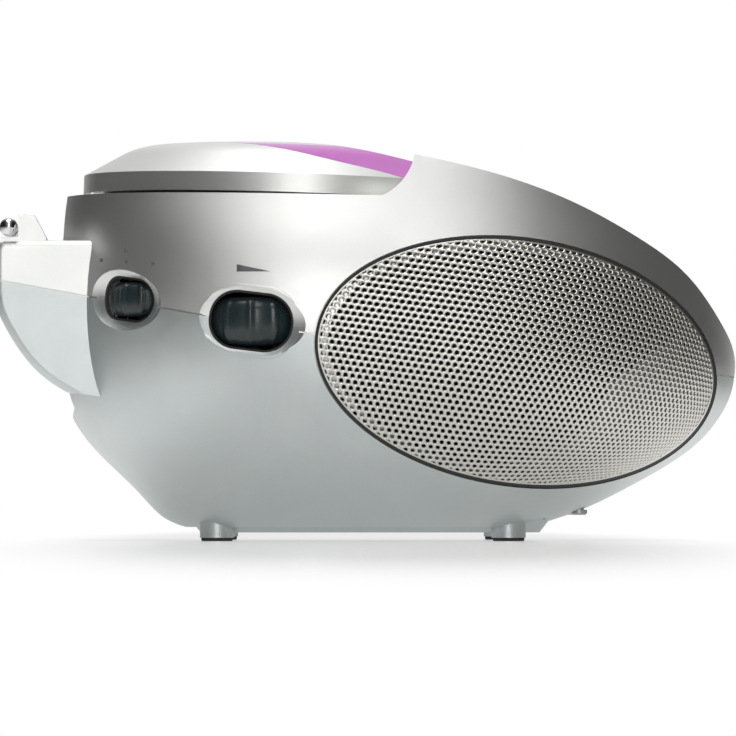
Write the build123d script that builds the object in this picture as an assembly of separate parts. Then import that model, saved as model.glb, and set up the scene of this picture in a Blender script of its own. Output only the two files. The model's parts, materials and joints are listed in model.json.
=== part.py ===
from build123d import *
import math
import os

# A small egg-shaped CD radio with a carrying handle, in millimetres.
# The floor is z = 0, the front (nose) is -Y, the handle is at the rear (+Y) and X is across.

# Casing
HALF_WIDTH = 102.5
NOSE_Y = -113.0
REAR_Y = 97.0
WAIST_Y = -12.0
SPLIT_Z = 58.3
EGG_TILT = 5.0
BOWL_RADIUS = 57.0
WALL = 2.5
OUTLINE_STEPS = 24
FRONT_POWER = 2.6
REAR_POWER = 3.2

# Top of the casing: the hood in front, the deck under the lid behind it
HOOD_CREST = (-12.7, 115.2)
HOOD_BROW = (-60.6, 101.0)
HOOD_SLOPE = (-96.0, 79.2)
NOSE_Z = 50.0
DECK_FRONT = (-48.0, 102.0)
DECK_REAR = (93.6, 104.6)
DECK_BEVEL = (98.5, 98.8)

# Plinth and feet
PLINTH_Z = 2.6
PLINTH_HALF_WIDTH = 46.0
PLINTH_FRONT = -51.6
PLINTH_REAR = 52.0
PLINTH_RISE = 6.0
PLINTH_CORNER = 14.0
FOOT_RADIUS = 5.2
FOOT_PAD = 1.0
FOOT_X = 47.0
FOOT_Y = (-41.7, 46.7)

# Handle and finger slot
HANDLE_HALF_WIDTH = 70.0
HANDLE_TOP = 90.3
HANDLE_REAR = 113.0
HANDLE_EDGE = 3.0
HANDLE_ROOT = 25.0
HANDLE_FILLET = 2.2
SLOT_HALF_WIDTH = 45.0
SLOT_REAR = 101.0
SLOT_OUTLINE = ((92.0, 36.0), (80.0, 62.0), (78.0, 84.0), (91.0, 101.0), (92.5, 120.0))
SEAM_WIDTH = 0.5
SEAM_DEPTH = 0.8
SPLIT_KNEE_Y = 16.0
SPLIT_REAR_RISE = 0.18

# Lid, and the window let into it
LID_CENTRE_Y = 22.0
LID_RADIUS = 67.0
LID_GAP = 1.3
LID_SEAT_Z = 104.9
LID_TILT = 2.0
LID_BAND = 5.7
LID_CROWN = 16.0
LID_CROWN_RISE = 9.5
LID_DOME = 2.8
LID_WALL = 2.4
LID_WINDOW_RADIUS = 59.0
LID_WINDOW_Y = 0.5
LID_CROWN_ROUND = 25.0
LID_WINDOW_THICK = 2.2
LID_WINDOW_SEAT = 2.5
LID_WINDOW_FIT = 0.15

# Lid hinge in its trough at the rear of the deck
HINGE_Y = 83.7
HINGE_Z = 105.3
PIN_RADIUS = 1.0
PIN_FIT = 0.06
KNUCKLE_RADIUS = 1.9
KNUCKLE_HALF_WIDTH = 15.0
EAR_WIDTH = 5.5
EAR_RADIUS = 2.6
EAR_FIT = 0.3
TROUGH_FRONT = 79.9
TROUGH_DEPTH = 4.6
TROUGH_HALF_WIDTH = 30.0

# Disc well
WELL_Y = 17.5
WELL_RADIUS = 61.0
WELL_WALL = 1.2
WELL_FIT = 0.3
WELL_FLOOR = 94.0
WELL_FLOOR_THICK = 1.6
WELL_LEDGE = 3.5
WELL_LEDGE_THICK = 1.2
WELL_RING = 2.0
WELL_SLOT_HALF_WIDTH = 14.5
WELL_SLOT_END = 56.0

# Disc mechanism, on a plate hung under the well on rubber bushes
PLATE_Z = 84.0
PLATE_THICK = 2.0
PLATE_REACH = (-27.0, 66.0)
PLATE_HALF_DEPTH = 26.0
HUB_RADIUS = 14.0
HUB_TOP = 98.4
HUB_THICK = 2.5
HUB_BOSS_RADIUS = 5.0
HUB_NOSE_RADIUS = 7.3
HUB_NOSE = 3.0
SPINDLE_RADIUS = 11.0
SPINDLE_HEIGHT = 7.0
SPINDLE_SHAFT = 1.0
ROD_RADIUS = 1.5
ROD_SPREAD = 10.0
ROD_Z = 89.2
ROD_REACH = (12.5, 64.0)
ROD_BLOCK = 4.0
ROD_FIT = 0.05
SLED_X = 26.0
SLED_LENGTH = 13.0
SLED_HALF_WIDTH = 13.0
SLED_BOTTOM = 86.7
SLED_TOP = 91.8
LENS_RADIUS = 3.5
LENS_TOP = 96.4
PINION_X = 34.0
PINION_TEETH = 12
PINION_RADIUS = 4.0
PINION_THICK = 2.4
TOOTH_HALF_HEIGHT = 0.6
TOOTH_BACKLASH = 0.22
RACK_REACH = (9.0, 38.0)
RACK_DEPTH = 1.8
SLED_MOTOR_RADIUS = 6.0
SLED_MOTOR_HEIGHT = 11.0
BUSH_RADIUS = 4.0
BUSH_X = (-21.0, 44.0)
BUSH_SPREAD = 21.5

# Grilles and loudspeakers
GRILLE_Y = -43.6
GRILLE_Z = 53.3
GRILLE_HALF_LENGTH = 60.4
GRILLE_HALF_HEIGHT = 36.1
GRILLE_TILT = 7.8
GRILLE_GAP = 0.9
GRILLE_THICK = 1.2
GRILLE_LEDGE = 3.2
GRILLE_INNER_X = 30.0
SPEAKER_X = 75.0
SPEAKER_Y = -42.0
SPEAKER_Z = 55.0
SPEAKER_YAW = 12.0
SPEAKER_RADIUS = 34.0
SPEAKER_RIM = 3.5
BASKET_THICK = 1.2
BASKET_DEPTH = 15.0
BAFFLE_THICK = 2.0
BAFFLE_REACH = 52.0
MAGNET_RADIUS = 20.0
MAGNET_DEPTH = 10.0
CONE_THICK = 0.8

# Volume and tuning wheels: a window in the side wall, the same on both sides
WHEEL_WALL = (100.6, 36.1, 65.2)
WHEEL_YAW = 5.0
WHEEL_RADIUS = 15.0
WHEEL_HEIGHT = 14.0
WHEEL_RIBS = 14
WHEEL_WINDOW = (24.5, 16.7)
WHEEL_DISH_SHIFT = 3.0

# Function and band knobs, nearer the handle, also the same on both sides
KNOB_WALL = (83.4, 74.2, 72.2)
KNOB_YAW = 41.0
KNOB_RADIUS = 10.2
KNOB_HEIGHT = 9.8
KNOB_RIBS = 10
KNOB_WINDOW = (19.6, 12.4)
KNOB_DISH_SHIFT = 0.5

# What both kinds of wheel share
RIB_RADIUS = 0.9
WHEEL_PROUD = 0.9
WHEEL_ROOM = 0.6
WINDOW_CORNER = 8.0
WINDOW_TILT = 7.0
DISH_SIDE = 7.4
DISH_ABOVE = 3.0
DISH_DEPTH = 4.4
WINDOW_PAD = 3.0
WINDOW_FRAME = 4.0
SHAFT_RADIUS = 3.0
SHAFT_FIT = 0.05
SPINDLE_GAP = 1.5
POT_HEIGHT = 9.5
POT_RADIUS = 8.5
TUNER_SIDE = 16.0
SWITCH_BODY = (11.0, 8.0)
POST_RADIUS = 6.0

# Console on the hood: panel with display and buttons
PANEL_Y = -80.0
PANEL_SIZE = (108.0, 36.0)
PANEL_CORNER = 8.0
PANEL_THICK = 2.2
PANEL_SINK = 0.8
PANEL_LEDGE = 4.0
PANEL_FIT = 0.2
PANEL_POST_RADIUS = 2.0
PANEL_POST = (46.0, 9.0)
DISPLAY_SIZE = (34.0, 13.0)
DISPLAY_UP = 7.5
DISPLAY_THICK = 1.2
DISPLAY_RIM = 1.2
BUTTON_SIZE = (13.0, 7.5)
BUTTON_DOWN = 8.8
BUTTON_PITCH = 17.0
BUTTON_PROUD = 1.1
BUTTON_TRAVEL = 0.8
BUTTON_FIT = 0.3
BUTTON_FLANGE = 1.0
BOARD_DEPTH = 8.0
BOARD_THICK = 1.6
SWITCH_SIZE = 6.0
SWITCH_HEIGHT = 3.0

# Tuning dial above the console
DIAL_Y = -55.5
DIAL_SIZE = (92.0, 9.0)
DIAL_CORNER = 3.0
DIAL_WINDOW_THICK = 1.2
DIAL_SEAT = 2.0
DIAL_DEPTH = 6.0
DIAL_SCALE_THICK = 1.0
POINTER_WIDTH = 1.4
POINTER_THICK = 1.0
POINTER_GAP = 0.3

# Battery bay in the floor: three columns of two C cells, and its door
CELL_RADIUS = 13.1
CELL_LENGTH = 50.0
CELL_COLUMNS = 3
CELL_ROOM = 3.0
BAY_FLOOR = 6.6
BAY_HEIGHT = 27.0
BAY_WALL = 1.6
DOOR_HALF_LENGTH = 49.0
DOOR_THICK = 2.0
DOOR_LEDGE = 1.0
DOOR_FIT = 0.3
DOOR_END_ROOM = 0.7
DOOR_PIVOT_RADIUS = 0.9
DOOR_PIVOT_INSET = 1.3
DOOR_PIVOT_LENGTH = 2.5
CONTACT_SIZE = 12.0
CONTACT_THICK = 0.6

# Electronics
BOARD_LIFT = 11.0
MAIN_BOARD = (104.0, 64.0)
MAIN_BOARD_Y = 34.0
BOARD_POSTS = ((-36.0, 8.0), (36.0, 8.0), (-36.0, 46.0), (36.0, 46.0))
TRANSFORMER = (42.0, 34.0, 34.0)
TRANSFORMER_Y = -28.0
INLET_X = 30.0
INLET_Z = 33.0
INLET_SIZE = (20.0, 18.0, 11.0)
INLET_FACE_Y = 84.0
INLET_SOCKET = (14.6, 7.6, 12.0)
INLET_PIN_RADIUS = 1.1
INLET_PIN_SPREAD = 4.1

# Telescopic aerial on top of the handle
AERIAL_X = 58.0
AERIAL_Y = 108.8
AERIAL_Z = 94.2
AERIAL_PLATE = 12.0
AERIAL_PLATE_THICK = 1.2
STEM_RADIUS = 2.0
STEM_FIT = 0.05
STEM_DEPTH = 4.0
SWIVEL_RADIUS = 3.8
SWIVEL_THICK = 0.45
CHEEK_OFFSET = 1.35
CHEEK_THICK = 1.3
CHEEK_HALF_LENGTH = 2.6
ELBOW_PIN_RADIUS = 0.9
TONGUE_RADIUS = 1.9
TONGUE_LENGTH = 5.0
TUBE_RADIUS = 2.5
TUBE_WALL = 0.45
TUBE_FIT = 0.05
TUBE_END = 2.0
TUBE_LENGTH = 113.0
TUBE_COUNT = 3
TUBE_STEP_OUT = 2.0
BALL_RADIUS = 2.8
BALL_X = -70.0
REST_X = (-69.0, -58.0)
REST_Y = (97.6, 111.5)
REST_TOP = 98.0
REST_GAP = 0.3

# Screws that close the casing from below
SCREW_PLACES = ((-60.0, -4.0), (60.0, -4.0), (-26.0, -64.0), (26.0, -64.0))
SCREW_COLLAR_RADIUS = 3.7
SCREW_HEAD_RADIUS = 2.4
SCREW_HEAD = 1.6
SCREW_SHANK_RADIUS = 1.4
SCREW_LENGTH = 9.0


def tilted(height, tilt):
    """The plane at a height on the waist line that rises towards the rear by tilt degrees."""
    lean = math.radians(tilt)
    return Plane(
        origin=(0, WAIST_Y, height),
        x_dir=(1, 0, 0),
        z_dir=(0, -math.sin(lean), math.cos(lean)),
    )


def egg_outline(half_width, front, rear):
    """A closed plan curve: a super-ellipse about the waist, blunter at the rear."""
    points = []
    for step in range(OUTLINE_STEPS):
        angle = 2 * math.pi * step / OUTLINE_STEPS - math.pi / 2
        across, along = math.cos(angle), math.sin(angle)
        power = REAR_POWER if along > 0 else FRONT_POWER
        reach = rear - WAIST_Y if along > 0 else WAIST_Y - front
        x = math.copysign(abs(across) ** (2 / power), across) * half_width
        y = math.copysign(abs(along) ** (2 / power), along) * reach
        points.append((x, y))
    return Spline(*points, periodic=True)


def bowl_half_width(height):
    """Half the width of the round bowl at a height below the split."""
    drop = min((SPLIT_Z - height) / BOWL_RADIUS, 1.0)
    return HALF_WIDTH - BOWL_RADIUS * (1 - math.sqrt(1 - drop * drop))


# Height at the waist, tilt, half width, front and rear of each plan section, from the floor up
EGG_SECTIONS = (
    (4.2, 0.0, bowl_half_width(4.2), -50.0, 57.0),
    (8.0, 1.0, bowl_half_width(7.0), -59.0, 66.5),
    (14.0, 2.0, bowl_half_width(13.0), -71.0, 73.6),
    (23.0, 3.0, bowl_half_width(23.0), -85.0, 85.0),
    (34.0, 4.0, bowl_half_width(34.0), -99.0, 93.5),
    (46.0, 4.5, bowl_half_width(46.0), -108.6, REAR_Y - 1.0),
    (SPLIT_Z, EGG_TILT, HALF_WIDTH, NOSE_Y, REAR_Y),
    (72.0, EGG_TILT, HALF_WIDTH - 1.0, NOSE_Y + 0.5, REAR_Y),
    (88.0, EGG_TILT, HALF_WIDTH - 5.8, NOSE_Y + 4.5, REAR_Y - 0.5),
    (104.0, EGG_TILT, HALF_WIDTH - 12.4, NOSE_Y + 10.5, REAR_Y - 2.5),
    (126.0, EGG_TILT, HALF_WIDTH - 22.0, NOSE_Y + 20.0, REAR_Y - 6.0),
)


def egg(inset=0.0):
    """The egg-shaped body, drawn in by inset on every side."""
    middle = SPLIT_Z
    half_height = SPLIT_Z - EGG_SECTIONS[0][0]
    squeeze = 1 - inset / half_height
    faces = []
    for height, tilt, half_width, front, rear in EGG_SECTIONS:
        outline = egg_outline(half_width - inset, front + inset, rear - inset)
        level = middle + (height - middle) * squeeze
        faces.append(make_face(tilted(level, tilt) * outline))
    return loft(faces)


def across_x(outline, half_width):
    """A prism of a Y-Z outline, from -half_width to half_width in X."""
    face = make_face(Plane.YZ * outline)
    return extrude(face, amount=half_width, both=True)


def hood_curve():
    """The smooth line of the hood in side view, from its crest down over the nose."""
    return Spline(
        HOOD_CREST,
        (-35.9, 109.8),
        HOOD_BROW,
        (-80.0, 90.8),
        HOOD_SLOPE,
        (-107.0, 65.0),
        (NOSE_Y + 0.1, NOSE_Z),
        tangents=((-1, -0.19), (-0.1, -1)),
    )


def deck_z(y):
    """Height of the deck under the lid."""
    share = (y - DECK_FRONT[0]) / (DECK_REAR[0] - DECK_FRONT[0])
    return DECK_FRONT[1] + share * (DECK_REAR[1] - DECK_FRONT[1])


def side_profile(inset=0.0):
    """What the casing fills in side view: hood, step down to the deck, deck and rear bevel."""
    step_foot = (-3.1, deck_z(-3.1))
    line = hood_curve()
    line += ThreePointArc(HOOD_CREST, (-8.6, 107.0), step_foot)
    line += Polyline(
        step_foot,
        DECK_REAR,
        DECK_BEVEL,
        (REAR_Y + 4, 90.0),
        (REAR_Y + 4, -5.0),
        (NOSE_Y - 5, -5.0),
        (NOSE_Y - 5, NOSE_Z - 4),
        (NOSE_Y + 0.1, NOSE_Z - 4),
        (NOSE_Y + 0.1, NOSE_Z),
    )
    prism = across_x(line, HALF_WIDTH + 10)
    return Pos(0, 0.64 * inset, -0.86 * inset) * prism


def hood_at(y):
    """Height of the hood at y and its fall in degrees there."""
    slice_line = Line((y, NOSE_Z), (y, HOOD_CREST[1] + 20))
    curve = hood_curve()
    spot = curve.intersect(slice_line)
    point = spot.vertices()[0] if hasattr(spot, "vertices") else spot[0]
    tangent = curve.tangent_at(curve.param_at_point(Vector(point.X, point.Y, 0)))
    return point.Y, math.degrees(math.atan2(tangent.Y, tangent.X)) % 180


def round_above_deck(depth, radius):
    """A round prism on the lid's centre, above the deck plane lowered by depth."""
    slope = math.degrees(math.atan2(DECK_REAR[1] - DECK_FRONT[1], DECK_REAR[0] - DECK_FRONT[0]))
    floor = Pos(0, LID_CENTRE_Y, deck_z(LID_CENTRE_Y) - depth) * Rot(slope, 0, 0)
    return floor * extrude(Circle(radius), amount=60)


def slot_prism(grow=0.0):
    """The finger slot between the grip and the scooped rear wall, grown by grow all round."""
    points = ((SLOT_REAR, 120.0), (SLOT_REAR, 26.0), (92.0, 26.0)) + SLOT_OUTLINE
    face = make_face(Plane.YZ * Polyline(*points, close=True))
    if grow:
        face = offset(face, amount=grow)
    return extrude(face, amount=SLOT_HALF_WIDTH + grow, both=True)


def split_z(y):
    """Height of the seam between the two halves of the casing."""
    front_rise = math.tan(math.radians(EGG_TILT))
    knee = SPLIT_Z + (SPLIT_KNEE_Y - WAIST_Y) * front_rise
    rise = front_rise if y < SPLIT_KNEE_Y else SPLIT_REAR_RISE
    return knee + (y - SPLIT_KNEE_Y) * rise


def below_seam(lift=0.0):
    """All the space below the seam, or below it raised by lift."""
    ends = [(y, split_z(y) + lift) for y in (-130.0, SPLIT_KNEE_Y, 130.0)]
    outline = Polyline(*ends, (130.0, -10.0), (-130.0, -10.0), close=True)
    return across_x(outline, HALF_WIDTH + 10)


def plinth_face():
    """The flat underside that carries the feet and the battery door."""
    depth = PLINTH_REAR - PLINTH_FRONT
    middle = (PLINTH_REAR + PLINTH_FRONT) / 2
    return Pos(0, middle) * RectangleRounded(2 * PLINTH_HALF_WIDTH, depth, PLINTH_CORNER)


def handle_profile(inset=0.0):
    """The handle in side view: flat top, upright grip and a curve down to the bowl."""
    top = HANDLE_TOP - inset
    rear = HANDLE_REAR - inset
    root = REAR_Y - HANDLE_ROOT
    outline = Polyline((root, 42.0 + inset), (root, top), (rear - HANDLE_EDGE, top))
    outline += RadiusArc((rear - HANDLE_EDGE, top), (rear, top - HANDLE_EDGE), HANDLE_EDGE)
    outline += Line((rear, top - HANDLE_EDGE), (rear, 75.0))
    outline += Spline(
        (rear, 75.0),
        (rear - 3.1, 64.3 + inset),
        (rear - 11.7, 52.0 + inset),
        (REAR_Y - 5, 45.0 + inset),
        tangents=((0, -1), (-0.85, -0.5)),
    )
    outline += Line((REAR_Y - 5, 45.0 + inset), (root, 42.0 + inset))
    return outline


def handle_solid():
    """The fixed carrying handle, a loop that grows out of both halves of the casing."""
    loop = across_x(handle_profile(), HANDLE_HALF_WIDTH)
    rims = [
        edge
        for edge in loop.edges()
        if abs(abs(edge.center().X) - HANDLE_HALF_WIDTH) < 0.01 and edge.center().Y > REAR_Y + 2
    ]
    ahead = Pos(0, REAR_Y - 23 - 100, 60) * Box(300, 200, 300)
    return fillet(rims, HANDLE_FILLET) - ahead


def aerial_rest():
    """The moulded block on the handle that the folded aerial lies against."""
    rod_front = AERIAL_Y - TUBE_RADIUS - REST_GAP
    cradle = AERIAL_Z - TUBE_RADIUS - REST_GAP
    outline = Polyline(
        (REST_Y[0], HANDLE_TOP - 1),
        (REST_Y[0], HANDLE_TOP + 0.7),
        (REST_Y[0] + 3.7, REST_TOP),
        (rod_front, REST_TOP),
        (rod_front, cradle),
        (REST_Y[1], cradle),
        (REST_Y[1], HANDLE_TOP - 1),
        close=True,
    )
    middle = (REST_X[0] + REST_X[1]) / 2
    return Pos(middle, 0, 0) * across_x(outline, (REST_X[1] - REST_X[0]) / 2)


def grille_prism(side, grow=0.0):
    """The ellipse of one grille, run out sideways through the wall."""
    ellipse = Ellipse(GRILLE_HALF_LENGTH + grow, GRILLE_HALF_HEIGHT + grow)
    face = Plane.YZ * Pos(GRILLE_Y, GRILLE_Z) * Rot(0, 0, GRILLE_TILT) * ellipse
    start = Pos(side * GRILLE_INNER_X, 0, 0)
    return start * extrude(face, amount=side * (HALF_WIDTH + 10 - GRILLE_INNER_X))


def speaker_place(side):
    """Where one loudspeaker sits: its Z points out through the grille."""
    yaw = math.radians(SPEAKER_YAW)
    return Plane(
        origin=(side * SPEAKER_X, SPEAKER_Y, SPEAKER_Z),
        x_dir=(0, 0, 1),
        z_dir=(side * math.cos(yaw), -math.sin(yaw), 0),
    )


def baffle(side):
    """The flat wall behind one grille that carries the loudspeaker."""
    reach = 2 * BAFFLE_REACH
    plate = Pos(0, 0, BAFFLE_THICK / 2) * Box(reach, reach, BAFFLE_THICK)
    plate -= Cylinder(SPEAKER_RADIUS - SPEAKER_RIM, 4 * BAFFLE_THICK)
    return speaker_place(side) * plate


class SideWheel:
    """A thumbwheel that shows through a window in the side wall, with what turns in it."""

    def __init__(self, wall, yaw, radius, height, ribs, window, dish_shift, body_radius):
        self.wall, self.yaw = wall, yaw
        self.radius, self.height, self.ribs = radius, height, ribs
        self.window, self.dish_shift, self.body_radius = window, dish_shift, body_radius
        back = radius + RIB_RADIUS / 2 - WHEEL_PROUD
        self.axis_x = wall[0] - back * math.cos(math.radians(yaw))
        self.axis_y = wall[1] - back * math.sin(math.radians(yaw))
        self.bottom = wall[2] - height / 2
        self.pot_top = self.bottom - SPINDLE_GAP
        self.post_top = self.pot_top - POT_HEIGHT

    def face(self, side):
        """The plane of the window in the wall, with its Z pointing out."""
        yaw = math.radians(self.yaw)
        return Plane(
            origin=(side * self.wall[0], self.wall[1], self.wall[2]),
            x_dir=(-side * math.sin(yaw), math.cos(yaw), 0),
            z_dir=(side * math.cos(yaw), math.sin(yaw), 0),
        )

    def outline(self, side, grow=0.0):
        """The window's rounded outline, tilted along the seam."""
        width, height = self.window[0] + 2 * grow, self.window[1] + 2 * grow
        corner = min(WINDOW_CORNER + grow, height / 2 - 0.05)
        return Rot(0, 0, side * WINDOW_TILT) * RectangleRounded(width, height, corner)

    def pad(self, side):
        """Extra wall round the window, on the inside."""
        face = self.outline(side, WINDOW_FRAME)
        return self.face(side) * Pos(0, 0, -WALL - WINDOW_PAD) * extrude(face, amount=WALL + WINDOW_PAD)

    def cutter(self, side):
        """The dished window and the room that the wheel turns in."""
        hole = Pos(0, 0, -20) * extrude(self.outline(side), amount=40)
        room = Cylinder(self.radius + RIB_RADIUS + WHEEL_ROOM, self.height + 2 * WHEEL_ROOM)
        under = self.bottom - self.post_top
        body_room = Pos(0, 0, -(self.height + under) / 2) * Cylinder(self.body_radius + WHEEL_ROOM, under)
        return self.face(side) * (hole + self.dish(side)) + self.centre(side) * (room + body_room)

    def dish(self, side):
        """The smooth hollow round the window: a ball drawn out along the seam."""
        half_width, half_height = self.window[0] / 2 + DISH_SIDE, self.window[1] / 2 + DISH_ABOVE
        radius = (half_height**2 + DISH_DEPTH**2) / (2 * DISH_DEPTH)
        arc = EllipticalCenterArc((0, 0), half_width * radius / half_height, radius, arc_size=180)
        ball = revolve(make_face(arc + Line(arc @ 1, arc @ 0)), Axis.X)
        return Rot(0, 0, side * WINDOW_TILT) * Pos(self.dish_shift, 0, radius - DISH_DEPTH) * ball

    def centre(self, side):
        """The middle of the wheel."""
        return Pos(side * self.axis_x, self.axis_y, self.wall[2])

    def post(self, side):
        """The pillar that rises from the bowl to carry the control under the wheel."""
        height = self.post_top - 5
        return Pos(side * self.axis_x, self.axis_y, 5 + height / 2) * Cylinder(POST_RADIUS, height)

    def wheel(self, side):
        """The ribbed thumbwheel, bored for its shaft."""
        disc = Cylinder(self.radius, self.height)
        disc = fillet(disc.edges(), RIB_RADIUS)
        rib_height = self.height - 2 * RIB_RADIUS
        for turn in range(self.ribs):
            rib = Pos(self.radius - RIB_RADIUS / 2, 0, 0) * Cylinder(RIB_RADIUS, rib_height)
            disc += Rot(0, 0, (turn + 0.5) * 360 / self.ribs) * rib
        disc -= Cylinder(SHAFT_RADIUS + SHAFT_FIT, 2 * self.height)
        return self.centre(side) * Rot(0, 0, self.yaw if side > 0 else 180 - self.yaw) * disc

    def control(self, side, body):
        """A control body on the post with the shaft that the wheel turns on."""
        shaft_height = SPINDLE_GAP + self.height - 1
        shaft = Pos(0, 0, shaft_height / 2) * Cylinder(SHAFT_RADIUS, shaft_height)
        solid = Pos(0, 0, -POT_HEIGHT / 2) * body + shaft
        return Pos(side * self.axis_x, self.axis_y, self.pot_top) * solid


WHEELS = SideWheel(
    WHEEL_WALL,
    WHEEL_YAW,
    WHEEL_RADIUS,
    WHEEL_HEIGHT,
    WHEEL_RIBS,
    WHEEL_WINDOW,
    WHEEL_DISH_SHIFT,
    TUNER_SIDE * 0.71,
)
KNOBS = SideWheel(
    KNOB_WALL,
    KNOB_YAW,
    KNOB_RADIUS,
    KNOB_HEIGHT,
    KNOB_RIBS,
    KNOB_WINDOW,
    KNOB_DISH_SHIFT,
    SWITCH_BODY[0] * 0.62,
)


def hood_place(y):
    """The plane that lies on the hood at y: X across, Y up the slope, Z out."""
    height, fall = hood_at(y)
    lean = math.radians(fall)
    return Plane(origin=(0, y, height), x_dir=(1, 0, 0), z_dir=(0, -math.sin(lean), math.cos(lean)))


CONSOLE = hood_place(PANEL_Y)
DIAL = hood_place(DIAL_Y)
PANEL_BACK = -PANEL_SINK - PANEL_THICK
CONSOLE_BOARD_TOP = PANEL_BACK - BOARD_DEPTH
DIAL_BACK = -DIAL_DEPTH


def rounded_plate(size, corner, bottom, top):
    """A rounded rectangle from one height to another."""
    return Pos(0, 0, bottom) * extrude(RectangleRounded(*size, corner), amount=top - bottom)


def grown(size, amount):
    """A width and height, each larger by amount on both sides."""
    return (size[0] + 2 * amount, size[1] + 2 * amount)


def console_pads():
    """The thick wall under the panel and round the dial."""
    rim = rounded_plate(grown(PANEL_SIZE, WALL), PANEL_CORNER, PANEL_BACK - WALL, 0)
    dial = rounded_plate(grown(DIAL_SIZE, WALL), DIAL_CORNER, DIAL_BACK, 0)
    return CONSOLE * rim, DIAL * dial


def console_cuts():
    """The recess and opening for the panel, and the window and slit of the dial."""
    panel_seat = rounded_plate(grown(PANEL_SIZE, PANEL_FIT), PANEL_CORNER, PANEL_BACK, 20)
    panel_hole = rounded_plate(grown(PANEL_SIZE, -PANEL_LEDGE), PANEL_CORNER / 2, -12, 0)
    dial_seat = rounded_plate(grown(DIAL_SIZE, PANEL_FIT), DIAL_CORNER, -DIAL_WINDOW_THICK, 20)
    dial_hole = rounded_plate(grown(DIAL_SIZE, -DIAL_SEAT), 1.0, DIAL_BACK - 1, 0)
    return CONSOLE * panel_seat, CONSOLE * panel_hole, DIAL * dial_seat, DIAL * dial_hole


BAY_HALF_WIDTH = CELL_COLUMNS * CELL_RADIUS + CELL_ROOM / 2
BAY_HALF_LENGTH = CELL_LENGTH + CELL_ROOM
BAY_ROOF = BAY_FLOOR + BAY_HEIGHT
BAY_DECK = BAY_ROOF + BAY_WALL
DOOR_HALF_WIDTH = BAY_HALF_WIDTH - DOOR_LEDGE
DOOR_PIVOT_Y = DOOR_HALF_LENGTH - DOOR_PIVOT_INSET
DOOR_PIVOT_Z = PLINTH_Z + DOOR_THICK / 2 + 0.1
BOARD_Z = BAY_DECK + BOARD_LIFT


def slab(x, y, z):
    """A box between pairs of limits."""
    size = (x[1] - x[0], y[1] - y[0], z[1] - z[0])
    return Pos((x[0] + x[1]) / 2, (y[0] + y[1]) / 2, (z[0] + z[1]) / 2) * Box(*size)


def battery_bay():
    """The walls of the battery bay and the room inside them."""
    half_width, half_length = BAY_HALF_WIDTH + BAY_WALL, BAY_HALF_LENGTH + BAY_WALL
    walls = slab((-half_width, half_width), (-half_length, half_length), (PLINTH_Z + 1, BAY_DECK))
    room = slab(
        (-BAY_HALF_WIDTH, BAY_HALF_WIDTH),
        (-BAY_HALF_LENGTH, BAY_HALF_LENGTH),
        (BAY_FLOOR, BAY_ROOF),
    )
    edge = DOOR_HALF_WIDTH + DOOR_FIT
    room += slab(
        (-edge, edge),
        (-DOOR_HALF_LENGTH - DOOR_FIT, DOOR_HALF_LENGTH + DOOR_END_ROOM),
        (PLINTH_Z - 1, BAY_FLOOR + 1),
    )
    pivot_bore = Pos(0, DOOR_PIVOT_Y, DOOR_PIVOT_Z) * Rot(0, 90, 0) * Cylinder(
        DOOR_PIVOT_RADIUS + SHAFT_FIT, 2 * (DOOR_HALF_WIDTH + DOOR_PIVOT_LENGTH + DOOR_FIT)
    )
    return walls, room + pivot_bore


def well_ring():
    """The round wall in the deck that the disc well drops into, with its ledge."""
    outer = WELL_RADIUS + WELL_WALL + WELL_FIT + WELL_RING
    bottom = WELL_FLOOR - WELL_FLOOR_THICK - WELL_LEDGE_THICK
    return Pos(0, WELL_Y, bottom) * extrude(Circle(outer), amount=30)


def well_hole():
    """The hole for the disc well, stepped in at the ledge."""
    seat = WELL_FLOOR - WELL_FLOOR_THICK
    wide = Pos(0, WELL_Y, seat) * extrude(Circle(WELL_RADIUS + WELL_WALL + WELL_FIT), amount=40)
    narrow = Pos(0, WELL_Y, seat - 20) * extrude(Circle(WELL_RADIUS - WELL_LEDGE), amount=30)
    return wide + narrow


def hinge_trough():
    """The trough in the rear of the deck that the lid's ears turn in."""
    floor = HINGE_Z - TROUGH_DEPTH
    half = TROUGH_HALF_WIDTH
    return slab((-half, half), (TROUGH_FRONT, REAR_Y + 10), (floor, floor + 20))


def hinge_knuckle():
    """The middle knuckle of the lid's hinge, standing in the trough."""
    axis = Pos(0, HINGE_Y, HINGE_Z) * Rot(0, 90, 0)
    barrel = axis * Cylinder(KNUCKLE_RADIUS, 2 * KNUCKLE_HALF_WIDTH)
    web = slab(
        (-KNUCKLE_HALF_WIDTH, KNUCKLE_HALF_WIDTH),
        (HINGE_Y - KNUCKLE_RADIUS, HINGE_Y + KNUCKLE_RADIUS),
        (HINGE_Z - TROUGH_DEPTH - 1, HINGE_Z),
    )
    return barrel + web, axis * Cylinder(PIN_RADIUS, 4 * KNUCKLE_HALF_WIDTH)


def screw_collar(x, y):
    """A round boss for a casing screw, from the skin of the bowl up into the bowl."""
    return Pos(x, y, 5) * extrude(Circle(SCREW_COLLAR_RADIUS), amount=22)


SCREW_SEAT_Z = 9.5


def inlet_pocket():
    """The thick wall round the mains inlet, and the hole that the inlet fills."""
    width, depth, height = INLET_SIZE
    rear = INLET_FACE_Y
    x = (INLET_X - width / 2, INLET_X + width / 2)
    z = (INLET_Z - height / 2, INLET_Z + height / 2)
    thick = BAY_WALL
    block = slab((x[0] - thick, x[1] + thick), (rear - depth, rear + 8), (z[0] - thick, z[1] + thick))
    return block, slab(x, (rear - depth - 1, rear + 20), z)


def grille_rebates():
    """The shallow seats of both grilles, cut only into the outside of the wall."""
    floor = egg(GRILLE_THICK)
    return [grille_prism(side, GRILLE_GAP) - floor for side in (-1, 1)]


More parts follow.
